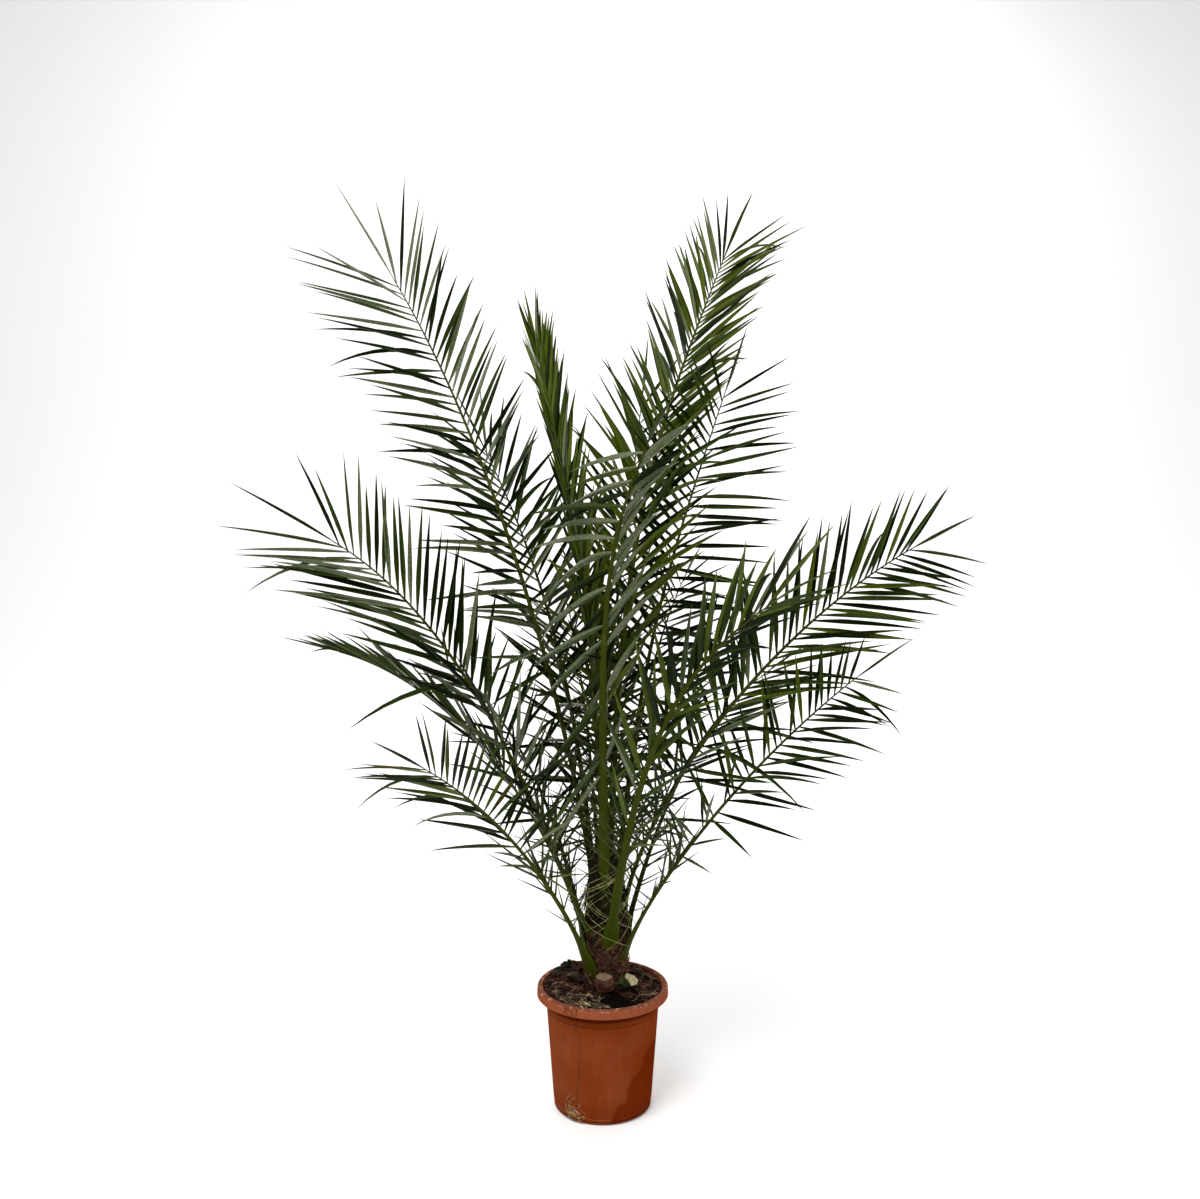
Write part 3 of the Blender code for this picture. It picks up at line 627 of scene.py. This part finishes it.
def swept(lines, faces_up, section, widths, depths):
    """A closed section carried along many lines: points, faces, each point's share of its line.

    A point is the line's point, plus its section's x times the width along the line's side and its
    y times the depth along the line's upper face. Both ends are capped.
    """
    ahead = unit(np.gradient(lines, axis=1))
    upper = unit(faces_up - (faces_up * ahead).sum(-1, keepdims=True) * ahead)
    side = np.cross(upper, ahead)
    section = np.asarray(section, float)
    points = (
        lines[:, :, None]
        + (section[:, 0] * widths[..., None])[..., None] * side[:, :, None]
        + (section[:, 1] * depths[..., None])[..., None] * upper[:, :, None]
    )
    count, stations, around = points.shape[:3]
    base = (np.arange(count) * stations * around)[:, None, None]
    row = (np.arange(stations - 1) * around)[None, :, None]
    step = np.arange(around)[None, None]
    a, b = base + row + step, base + row + (step + 1) % around
    quads = np.stack([a, b, b + around, a + around], -1).reshape(-1, 4).tolist()
    foot = (base[:, 0] + np.arange(around)[::-1]).tolist()
    tip = (base[:, 0] + (stations - 1) * around + np.arange(around)).tolist()
    share = np.broadcast_to(np.linspace(0, 1, stations)[None, :, None], points.shape[:3])
    return points.reshape(-1, 3), quads + foot + tip, share


def leaf_finish(name, colour, pale, roughness=0.34, specular=0.15):
    """A waxy leaflet: a faint fine speckle and a slow change of tone through the crown."""
    finish = Finish(name, roughness, specular)
    tone = finish.noise(9, 2).between(0.3, 0.7)
    fine = finish.noise(160, 2).between(0.35, 0.75)
    finish.colour(finish.mix(tone * 0.5 + fine * 0.35, colour, pale))
    finish.roughness(roughness + fine * 0.14)
    return finish


# In the order of the numbers that leaflets() gives out.
LEAF_GREENS = [
    leaf_finish("leaf_mid_green", shade(32, 44, 9), shade(58, 72, 25)),
    # Painted shade: deep green stands for leaflets in shade.
    leaf_finish("leaf_shaded_green", shade(13, 20, 4), shade(30, 41, 11), specular=0.06),
    # Painted reflection: grey-green stands for glossy upper faces that mirror the sky, on a glossier
    # finish.
    leaf_finish("leaf_sky_sheen_green", shade(70, 80, 50), shade(108, 114, 84), 0.24, 0.5),
    leaf_finish("leaf_yellow_green", shade(52, 64, 8), shade(82, 94, 24)),
    leaf_finish("leaf_dry", shade(48, 42, 14), shade(88, 80, 38), 0.8, 0.03),
]


def rib_finish():
    """Green stalk, olive along the blade, with a paler powdery bloom in patches."""
    finish = Finish("frond_rib", 0.5, 0.04)
    share = finish.node("ShaderNodeAttribute", {"attribute_name": "along"}, output="Fac")
    bloom = finish.noise(60, 3, (1, 1, 0.3))
    blade = finish.mix(share.between(0.08, 0.45), shade(46, 55, 1), shade(50, 56, 8))
    foot = finish.mix(share.between(0.0, 0.02), shade(60, 50, 12), blade)
    finish.colour(finish.mix(bloom.between(0.55, 0.8) * 0.2, foot, shade(104, 108, 50)))
    finish.bump(finish.noise(300, 2, (1, 1, 0.1)), 0.0006)
    return finish


RIB_GREEN = rib_finish()
SPINE_FINISH = leaf_finish("leaf_spine", shade(30, 40, 8), shade(66, 76, 26), 0.5)
RIB_FINE_END, RIB_FINE_STEPS, RIB_COARSE_STEPS = 0.3, 24, 38


def rib_shape(rib, foot, stalk):
    """A section slightly hollow above and round below, carried along the rib from foot to tip.

    Its width and thickness run straight from each named place to the next: three on the broad
    foot, the stalk's start, the blade's start and the tip.
    """
    radius = trunk_radius(foot)
    broad = radius * np.interp(foot, HIGH_FOOT, HIGH_FOOT_SHARE)
    rows = [(at, broad * width, radius * thick) for at, width, thick in RIB_FOOT]
    rows.append((STALK_START, radius * STALK_SHARES[0] * stalk, radius * STALK_SHARES[1]))
    rows += [(BLADE_START, BLADE_START_SIZE[0] * stalk, BLADE_START_SIZE[1]), (rib.length, *TIP_SIZE)]
    stations, widths, depths = zip(*rows)
    fine = np.linspace(0, RIB_FINE_END, RIB_FINE_STEPS)
    distances = np.concatenate([fine, np.linspace(RIB_FINE_END, rib.length, RIB_COARSE_STEPS)[1:]])
    points, _, _, face = rib.at(distances)
    turn = np.radians(np.arange(0, 181, 20))
    below = np.stack([0.5 * np.cos(turn), -0.75 * np.sin(turn)], -1)[::-1]
    section = np.concatenate([below, [[0.30, 0.20], [0.0, 0.08], [-0.30, 0.20]]])
    wide, deep = np.interp(distances, stations, widths), np.interp(distances, stations, depths)
    return swept(points[None], face[None], section, wide[None], deep[None])


LEAFLET_LENGTH = 0.27
LEAFLET_WIDTH = 0.0130
LEAFLET_STEP = 0.0235
LEAFLET_RISE = 18
MOST_ANGLE = 138
# Share of the blade, angle of its leaflets to the rib in degrees, share of the full length.
LEAFLET_RULE = ((0, 86, 0.5), (0.1, 77, 0.86), (0.3, 62, 1), (0.8, 50, 1), (0.94, 40, 1), (1, 22, 1))
# Shares of the blade where the last leaflets' length and their closing in begin, and the power by
# which they crowd towards the tip.
TIP_BEGINS, CLOSING, THINNING = 0.7, 0.8, 0.8
# Share of the blade, share of the full width. Then share of a leaflet, share of its own width.
WIDTH_ON_BLADE = ((0, 0.08, 0.3, 0.8, 1), (0.35, 0.7, 1, 0.95, 0.7))
WIDTH_ON_LEAFLET = ((0, 0.06, 0.28, 0.5, 0.8, 1), (0.3, 0.5, 1, 0.92, 0.5, 0.03))
# Across a folded leaflet: its two edges stand above the keel, each point in shares of its width.
LEAFLET_SECTION = (
    (-0.46, 0.36), (-0.43, 0.29), (0.0, -0.20), (0.43, 0.29), (0.46, 0.36), (0.0, -0.11),
)
# Unevenness in degrees: at the tip, and what is added where the leaflets stand loose.
ANGLE_NOISE, RISE_NOISE, TWIST_NOISE = (4, 14), (7, 27), 15
# How far the outer ones of a group lean, in degrees, and shift, in steps from leaflet to leaflet.
GROUP_LEAN, GROUP_SHIFT = 9, 0.7
LENGTH_NOISE, SAG_NOISE = (0.97, 0.05), 0.03
BROKEN_SHARE, BROKEN_SAG = 0.03, 0.3
SAG_POWER = 2.2
# Share of mid green leaflets; the others are deep green, which is painted shade.
MID_GREEN_SHARE = 0.5


def leaflet_lines(roots, directions, lengths, droop, stations=8):
    """From each root straight out, less a sag in Z.

    The sag is the droop times the length times the share of the way along to the sag's power.
    """
    share = np.linspace(0, 1, stations)[None, :, None]
    lines = roots[:, None] + directions[:, None] * lengths[:, None, None] * share
    lines[..., 2] -= (droop * lengths)[:, None] * share[..., 0] ** SAG_POWER
    return lines


def leaflets(rib, blade_values, stalk, rng):
    """Both rows of leaflets and the one at the tip, as one mesh with a finish for each leaflet.

    Low on the blade they stand in loose groups of three that lean apart; near its tip they are even.
    """
    *rows, tip, end, droop, density, grey, yellow, dry = blade_values
    blade = rib.length - BLADE_START
    count = 2 * round(blade * density / LEAFLET_STEP) + 1
    number = np.arange(count)
    even = ((number + 0.5 + rng.uniform(-0.25, 0.25, count)) / count) ** THINNING
    loose = 1 - np.clip(even / 0.6, 0, 1)
    in_group = (number // 2 % 3 - 1) * np.minimum(1, 2 * loose)
    share = np.clip(even - in_group * GROUP_SHIFT / count, 0, 1)
    share[-1] = 1
    hand = np.where(number % 2, 1, -1)[:, None]
    roots, along, side, face = rib.at(BLADE_START + blade * share)
    stations, angles, shares = zip(*LEAFLET_RULE)
    size, spread, spread_at_tip = np.reshape(rows, (2, 3))[number % 2].T
    spread *= 1 + (spread_at_tip - 1) * np.clip((share - CLOSING) / (1 - CLOSING), 0, 1)
    uneven = ANGLE_NOISE[0] + ANGLE_NOISE[1] * loose
    angle = np.interp(share, stations, angles) * spread + rng.normal(0, 1, count) * uneven
    angle = np.radians(np.minimum(angle, MOST_ANGLE))
    angle[-1] = 0
    uneven = RISE_NOISE[0] + RISE_NOISE[1] * loose
    rise = np.radians(LEAFLET_RISE + in_group * GROUP_LEAN + rng.normal(0, 1, count) * uneven)
    angle, rise = angle[:, None], rise[:, None]
    out = side * hand * np.cos(rise) + face * np.sin(rise)
    direction = along * np.cos(angle) + out * np.sin(angle)
    upper = face * np.cos(rise) - side * hand * np.sin(rise)
    twist = np.radians(rng.normal(0, TWIST_NOISE, count))[:, None]
    upper = upper * np.cos(twist) + np.cross(direction, upper) * np.sin(twist)
    length = LEAFLET_LENGTH * size * np.interp(share, stations, shares)
    length = length * rng.normal(*LENGTH_NOISE, count) * np.interp(share, [TIP_BEGINS, 1], [1, tip])
    length[-1] = LEAFLET_LENGTH * end
    width = LEAFLET_WIDTH * (0.6 + 0.4 * stalk) * (0.6 + 0.4 * size) * np.interp(share, *WIDTH_ON_BLADE)
    sag = np.abs(rng.normal(droop, SAG_NOISE, count))
    broken = (rng.random(count) < BROKEN_SHARE) * (share > 0.2)
    lines = leaflet_lines(roots, direction, length, sag + broken * BROKEN_SAG)
    across = lines.shape[1]
    widths = width[:, None] * np.interp(np.linspace(0, 1, across), *WIDTH_ON_LEAFLET)
    upper = np.repeat(upper[:, None], across, 1)
    points, faces, _ = swept(lines, upper, LEAFLET_SECTION, widths, widths)
    # Each leaflet is mid green or, as painted shade, deep green.
    tone = np.where(rng.random(count) < MID_GREEN_SHARE, 0, 1)
    # A share of them gets the grey-green painted sky reflection.
    tone = np.where(rng.random(count) < grey, 2, tone)
    tone = np.where(rng.random(count) < yellow, 3, tone)
    tone = np.where(rng.random(count) < dry * share**2, 4, tone)
    quads = (across - 1) * len(LEAFLET_SECTION)
    return points, faces, np.concatenate([np.repeat(tone, quads), tone, tone])


SPINE_COUNT = 20
SPINE_WIDTH = 0.0025
SPINE_BEGINS, SPINE_ENDS = 0.42, 1.2
SPINE_ANGLES, SPINE_RISES = (28, 75), (-10, 60)
SPINE_LENGTHS, SPINE_GROWTH = (0.03, 0.085), 0.16
SPINE_WIDENING = 2.2
SPINE_SHARES = (1.0, 0.85, 0.5, 0.05)
THREAD_SECTION = ((-0.5, -0.3), (0.5, -0.3), (0.0, 0.6))


def spines(rib, rng):
    """The lowest leaflets, shrunk to stiff sharp spines in two rows at uneven angles.

    They stand along the stalk and a little way up the blade, and are longer and wider there.
    """
    share = np.sort(rng.uniform(SPINE_BEGINS, SPINE_ENDS, SPINE_COUNT))
    hand = np.where(np.arange(SPINE_COUNT) % 2, 1, -1)[:, None]
    roots, along, side, face = rib.at(BLADE_START * share)
    angle = np.radians(rng.uniform(*SPINE_ANGLES, SPINE_COUNT))[:, None]
    rise = np.radians(rng.uniform(*SPINE_RISES, SPINE_COUNT))[:, None]
    out = side * hand * np.cos(rise) + face * np.sin(rise)
    direction = along * np.cos(angle) + out * np.sin(angle)
    length = rng.uniform(*SPINE_LENGTHS, SPINE_COUNT) + SPINE_GROWTH * (share - SPINE_BEGINS)
    lines = leaflet_lines(roots, direction, length, np.zeros(SPINE_COUNT), len(SPINE_SHARES))
    widths = SPINE_WIDTH * (1 + SPINE_WIDENING * (share[:, None] - SPINE_BEGINS)) * SPINE_SHARES
    upper = np.repeat(face[:, None], len(SPINE_SHARES), 1)
    return swept(lines, upper, THREAD_SECTION, widths, widths)


for number, (name, *place, stalk) in enumerate(FRONDS):
    rng = np.random.default_rng(100 + number)
    rib = Rib(*place)
    points, faces, share = rib_shape(rib, place[1], stalk)
    middle = surface(name + "_rib", points, faces, [RIB_GREEN], along=share, sharp=60)
    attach(middle, "root")
    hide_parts(name)
    points, faces, tones = leaflets(rib, BLADES[name], stalk, rng)
    blades = surface(name + "_leaflets", points, faces, LEAF_GREENS, face_finish=tones, sharp=25)
    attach(blades, "root")
    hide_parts(name)
    points, faces, _ = spines(rib, rng)
    thorns = surface(name + "_spines", points, faces, [SPINE_FINISH], sharp=30)
    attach(thorns, "root")

# Old leaf bases. Thick stubs at the foot of the trunk, cut across: one still green with a pale
# corky cut face, the others dried to brown wood and bark.
STUB_CUT = 0.985
STUB_SLANT = 0.8
STUB_SECTION = (
    (-0.5, -0.1), (-0.28, -0.55), (0.1, -0.72), (0.42, -0.45), (0.5, 0.0), (0.12, 0.42), (-0.3, 0.26),
)
STUB_TAPER = ((0, 0.5, STUB_CUT, 1), (1.0, 0.9, 0.8, 0.78))
# Name, turn in degrees from +X, height, rise in degrees, length, width, thickness.
STUBS = (
    ("stub_front_right", 317, 0.296, 30, 0.048, 0.036, 0.026),
    ("stub_front", 266, 0.294, 52, 0.052, 0.048, 0.030),
    ("stub_left", 180, 0.290, 20, 0.050, 0.030, 0.013),
)


def stub_finish(name, skin, patch, cut):
    """Dull skin with patches along its sides, and fibrous pith where the saw cut it."""
    finish = Finish(name, 0.75, 0.25)
    share = finish.node("ShaderNodeAttribute", {"attribute_name": "along"}, output="Fac")
    patches = finish.noise(55, 4).between(0.42, 0.62)
    grain = finish.noise(700, 2)
    side = finish.mix(patches, shade(*skin), shade(*patch))
    pith = finish.mix(grain.between(0.3, 0.7), shade(*(c * 0.7 for c in cut)), shade(*cut))
    pith = finish.mix(finish.noise(130, 3).between(0.5, 0.62) * 0.5, pith, side)
    finish.colour(finish.mix(share.between(0.97, 0.995), side, pith))
    finish.bump(finish.noise(260, 3), 0.001)
    return finish


STUB_FINISHES = {
    "stub_front_right": stub_finish("green_leaf_base", (40, 54, 8), (62, 64, 20), (184, 170, 132)),
    "stub_front": stub_finish("woody_leaf_base", (78, 42, 28), (116, 78, 60), (138, 116, 94)),
    "stub_left": stub_finish("dark_leaf_base", (34, 20, 12), (72, 48, 32), (84, 58, 40)),
}
for name, turn, height, rise, length, width, thickness in STUBS:
    start = heading(turn, 0) * (trunk_radius(height) - RIB_SINK) + (0, 0, height) + TRUNK_PLACE
    distances = np.concatenate([np.linspace(0, length * STUB_CUT, 12), [length]])
    way = heading(turn, rise)
    side = np.array([math.sin(math.radians(turn)), -math.cos(math.radians(turn)), 0.0])
    line = start + distances[:, None] * way
    upper = np.repeat(np.cross(side, way)[None], len(distances), 0)
    widths = width * np.interp(distances / length, *STUB_TAPER)
    depths = thickness * np.ones(len(distances))
    points, faces, share = swept(line[None], upper[None], STUB_SECTION, widths[None], depths[None])
    above = np.clip((points - start) @ upper[0] + thickness / 2, 0, None)
    points -= ((points - start) @ way * above * STUB_SLANT / length)[:, None] * way
    rough = 0.0030 * waves(points, 45, 9) + 0.0016 * waves(points, 120, 10)
    points += rough[:, None] * unit(points * (1, 1, 0.5))
    stub = surface(name + "_cut", points, faces, [STUB_FINISHES[name]], along=share, sharp=25)
    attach(stub, "root")
    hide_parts(name)


# Fibre. The sheaths of the dead leaves fray into threads that cross over the stem both ways at
# about 45 degrees: long pale ones between the stalks, short dark ones above and a brown mat below.
def thread_finish(name, dark, light):
    """Dull fibre, mottled between a dark and a light tone given as eight-bit colours."""
    finish = Finish(name, 0.8, 0.2)
    mottle = finish.noise(90, 2).between(0.35, 0.65)
    finish.colour(finish.mix(mottle, shade(*dark), shade(*light)))
    return finish


def loose(name, lines, faces_up, section, widths, colours, depth=1.0, sharp=None):
    """Loose strands or flakes as one piece: a section carried along each of the lines."""
    points, faces, _ = swept(lines, faces_up, section, widths, widths * depth)
    return surface(name, points, faces, [thread_finish(name, *colours)], sharp=sharp)


# Name, count, heights where they begin, how far they climb, how far off the stem, widths, colours.
THREADS = (
    ("sheath_threads", 84, (0.37, 0.52), (0.06, 0.12), 0.026, (0.0008, 0.0013),
     ((108, 108, 56), (176, 178, 118))),
    ("dark_fibre", 560, (0.40, 0.56), (0.02, 0.06), 0.012, (0.0012, 0.0030),
     ((10, 7, 2), (40, 27, 12))),
    ("matted_fibre", 460, (0.275, 0.43), (0.01, 0.06), 0.008, (0.0008, 0.0020),
     ((52, 28, 18), (112, 78, 52))),
)
THREAD_TAPER = np.array([0.5, 1, 1, 1, 1, 0.8, 0.2])


def fibre_lines(count, begins, climbs, proud, rng):
    """Threads that climb as far as they go round the stem, half of them each way, a few mm off it."""
    share = np.linspace(0, 1, len(THREAD_TAPER))
    start = rng.uniform(*begins, count)[:, None]
    climb = rng.uniform(*climbs, count)[:, None]
    hand = rng.choice([-1, 1], count)[:, None]
    height = start + climb * share
    round_it = hand * climb / trunk_radius(start + climb / 2) * rng.normal(1, 0.25, count)[:, None]
    turn = rng.uniform(0, 2 * math.pi, count)[:, None] + round_it * share
    reach = trunk_radius(height) + rng.uniform(0, proud, count)[:, None]
    reach = reach + 0.001 * np.sin(share * 9 + turn)
    return np.stack([reach * np.cos(turn), reach * np.sin(turn), height], -1) + TRUNK_PLACE


rng = np.random.default_rng(31)
for name, count, begins, climbs, proud, thick, colours in THREADS:
    lines = fibre_lines(count, begins, climbs, proud, rng)
    widths = rng.uniform(*thick, count)[:, None] * THREAD_TAPER
    fibre = loose(name, lines, lines * (1, 1, 0), THREAD_SECTION, widths, colours)
    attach(fibre, "root")


# Litter. Bark chips, straw, fine roots and torn leaf scraps lie loose on the soil round the stem,
# none of them past the pot's lip.
LITTER_REACH = 0.131
UPWARDS = np.array([0, 0, 1.0])


def scattered(count, rng, reach, sector):
    """Random places on the soil between two radii and two turns in degrees."""
    turn = np.radians(rng.uniform(*sector, count))
    radius = np.sqrt(rng.uniform(reach[0] ** 2, reach[1] ** 2, count))
    x, y = radius * np.cos(turn), radius * np.sin(turn)
    return np.stack([x, y, soil_height(x, y)], -1)


def lying(count, lengths, bend, lift, rng, stations, reach, sector):
    """Curved strands that lie on the soil: level arcs whose height follows the soil under them."""
    lengths = rng.uniform(*lengths, count)
    middle = scattered(count, rng, reach, sector)
    share = np.linspace(-0.5, 0.5, stations)
    turn = rng.uniform(0, 2 * math.pi, count)[:, None] + rng.normal(0, bend, count)[:, None] * share
    x = middle[:, :1] + lengths[:, None] * share * np.cos(turn)
    y = middle[:, 1:2] + lengths[:, None] * share * np.sin(turn)
    radius = np.hypot(x, y)
    inside = np.minimum(1, LITTER_REACH / radius)
    x, y = x * inside, y * inside
    z = soil_height(x, y) + lift + rng.uniform(0, 0.005, count)[:, None] * (share + 0.5)
    return np.stack([x, y, z], -1)


CHIP_SECTION = ((-0.5, 0.0), (-0.2, -0.2), (0.3, -0.15), (0.5, 0.05), (0.1, 0.2))
CHIP_TAPER = np.array([0.5, 1.0, 0.9, 0.4])
CHIP_RING, CHIP_BEND, CHIP_THICKNESS = (0.064, 0.128), 0.3, 0.55
# Name, count, turns in degrees, lengths, widths, lift off the soil, tilt, colours.
CHIPS = (
    ("bark_chips", 110, (-44, 252), (0.010, 0.032), (0.005, 0.014), 0.002, 0.5,
     ((15, 7, 4), (74, 42, 31))),
    ("pale_chips", 7, (236, 262), (0.010, 0.024), (0.004, 0.008), 0.006, 0.5,
     ((120, 98, 70), (176, 156, 122))),
    ("torn_chips", 2, (266, 276), (0.026, 0.034), (0.008, 0.011), 0.012, 0.5,
     ((112, 100, 78), (168, 156, 126))),
    ("black_scraps", 16, (120, 158), (0.014, 0.030), (0.008, 0.015), 0.005, 1.0,
     ((7, 6, 4), (22, 20, 13))),
)
rng = np.random.default_rng(47)
for name, count, sector, long, wide, lift, tilt, colours in CHIPS:
    lines = lying(count, long, CHIP_BEND, lift, rng, len(CHIP_TAPER), CHIP_RING, sector)
    widths = rng.uniform(*wide, count)[:, None] * CHIP_TAPER
    upper = UPWARDS + rng.normal(0, tilt, (count, 1, 3)) + 0 * lines
    chips = loose(name, lines, upper, CHIP_SECTION, widths, colours, CHIP_THICKNESS, sharp=20)
    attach(chips, "root")

# Name, count, turns in degrees, lengths, bend, thickness, colours.
STRANDS = (
    ("straw", 36, (-44, 262), (0.02, 0.06), 0.6, (0.0006, 0.0013), ((104, 86, 58), (170, 150, 112))),
    ("leaf_crumbs", 80, (200, 268), (0.006, 0.026), 1.2, (0.0010, 0.0028),
     ((56, 46, 30), (118, 106, 80))),
    ("surface_roots", 130, (-44, 256), (0.02, 0.055), 2.6, (0.0007, 0.0018),
     ((50, 25, 17), (98, 62, 46))),
)
STRAND_TAPER = np.array([0.5, 1, 1, 1, 1, 0.9, 0.4])
STRAND_RING, STRAND_LIFT = (0.07, 0.122), 0.004
for name, count, sector, long, bend, thick, colours in STRANDS:
    lines = lying(count, long, bend, STRAND_LIFT, rng, len(STRAND_TAPER), STRAND_RING, sector)
    widths = rng.uniform(*thick, count)[:, None] * STRAND_TAPER
    strands = loose(name, lines, UPWARDS + 0 * lines, THREAD_SECTION, widths, colours)
    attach(strands, "root")

# Escaped roots. A tuft of thin tan roots has grown out of a drain hole and up the pot's left
# front, and a few fine ones hang over its rim, one of them down to the ground.
TUFT_TURN, TUFT_COUNT, TUFT_TOP = 235, 44, 0.060
TUFT_SPREAD, TUFT_WANDER, TUFT_CLIMB = 0.07, 0.12, 0.014
HANGING_TURN, HANGING_COUNT = 243, 6
HANGING_SPREAD, HANGING_WANDER = 0.09, 0.06


def wall_lines(turn, height, proud):
    """Lines on the pot's outside, or its rim's, from arrays of turns in radians and heights."""
    reach = np.where(height > NECK_HEIGHT - 0.002, RIM_RADIUS, pot_radius(height)) + proud
    return np.stack([reach * np.cos(turn), reach * np.sin(turn), height], -1)


def tuft_lines(share, rng):
    """Roots that wander up the pot's wall from its foot, each a few cm, pressed against it."""
    start = rng.normal(0, TUFT_SPREAD, TUFT_COUNT)[:, None]
    height = rng.uniform(0.003, 0.02, TUFT_COUNT)[:, None]
    height = height + rng.exponential(TUFT_CLIMB, TUFT_COUNT)[:, None] * share
    wander = rng.normal(0, TUFT_WANDER, TUFT_COUNT)[:, None]
    bends = wander * np.sin(share * rng.uniform(2, 6, TUFT_COUNT)[:, None])
    turn = math.radians(TUFT_TURN) + start + bends
    proud = 0.0004 + rng.uniform(0, 0.002, TUFT_COUNT)[:, None]
    return wall_lines(turn, np.minimum(height, TUFT_TOP), proud)


def hanging_lines(share, rng):
    """Fine roots from the soil over the lip and down the wall, the first one to the ground."""
    length = rng.uniform(0.02, 0.09, HANGING_COUNT)[:, None]
    length[0] = POT_HEIGHT - 0.004
    height = POT_HEIGHT + 0.0008 - length * share
    turn = math.radians(HANGING_TURN) + rng.normal(0, HANGING_SPREAD, HANGING_COUNT)[:, None]
    turn[0] = math.radians(HANGING_TURN)
    return wall_lines(turn + HANGING_WANDER * np.sin(share * 5 + turn * 40), height, 0.0006)


tuft, hanging = tuft_lines(np.linspace(0, 1, 8), rng), hanging_lines(np.linspace(0, 1, 14), rng)
for name, lines, thick, colours in (
    ("escaped_roots", tuft, 0.0009, ((124, 84, 50), (196, 154, 108))),
    ("hanging_roots", hanging, 0.0007, ((70, 34, 18), (110, 66, 40))),
):
    widths = thick * rng.uniform(0.6, 1.4, len(lines))[:, None] * np.ones(lines.shape[1])
    roots = loose(name, lines, lines * (1, 1, 0), THREAD_SECTION, widths, colours)
    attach(roots, "root")

# Floor. A plain pale sheet that the pot stands on, which runs up behind out of the picture.
FLOOR_REACH, FLOOR_BACK, FLOOR_BEND, FLOOR_TOP = 9.0, 4.0, 2.5, 8.0
FLOOR_DROP = 0.0005


def floor_shape():
    """Level, then a quarter circle up at the back, then upright: one strip, wide in X."""
    turn = np.radians(np.linspace(0, 90, 24))
    back, up = FLOOR_BACK + FLOOR_BEND * np.sin(turn), FLOOR_BEND - FLOOR_BEND * np.cos(turn)
    wall = [[FLOOR_BACK + FLOOR_BEND, FLOOR_TOP]]
    rows = np.concatenate([[[-FLOOR_REACH, 0.0]], np.stack([back, up], -1), wall])
    left = np.column_stack([np.full(len(rows), -FLOOR_REACH), rows])
    right = left * (-1, 1, 1)
    points = np.concatenate([left, right]) - (0, 0, FLOOR_DROP)
    count = len(rows)
    return points, [[k, k + count, k + count + 1, k + 1] for k in range(count - 1)]


floor_finish = Finish("pale_floor", 0.9, 0.2)
floor_finish.colour(shade(246, 246, 245))
points, faces = floor_shape()
floor = surface("floor", points, faces, [floor_finish])
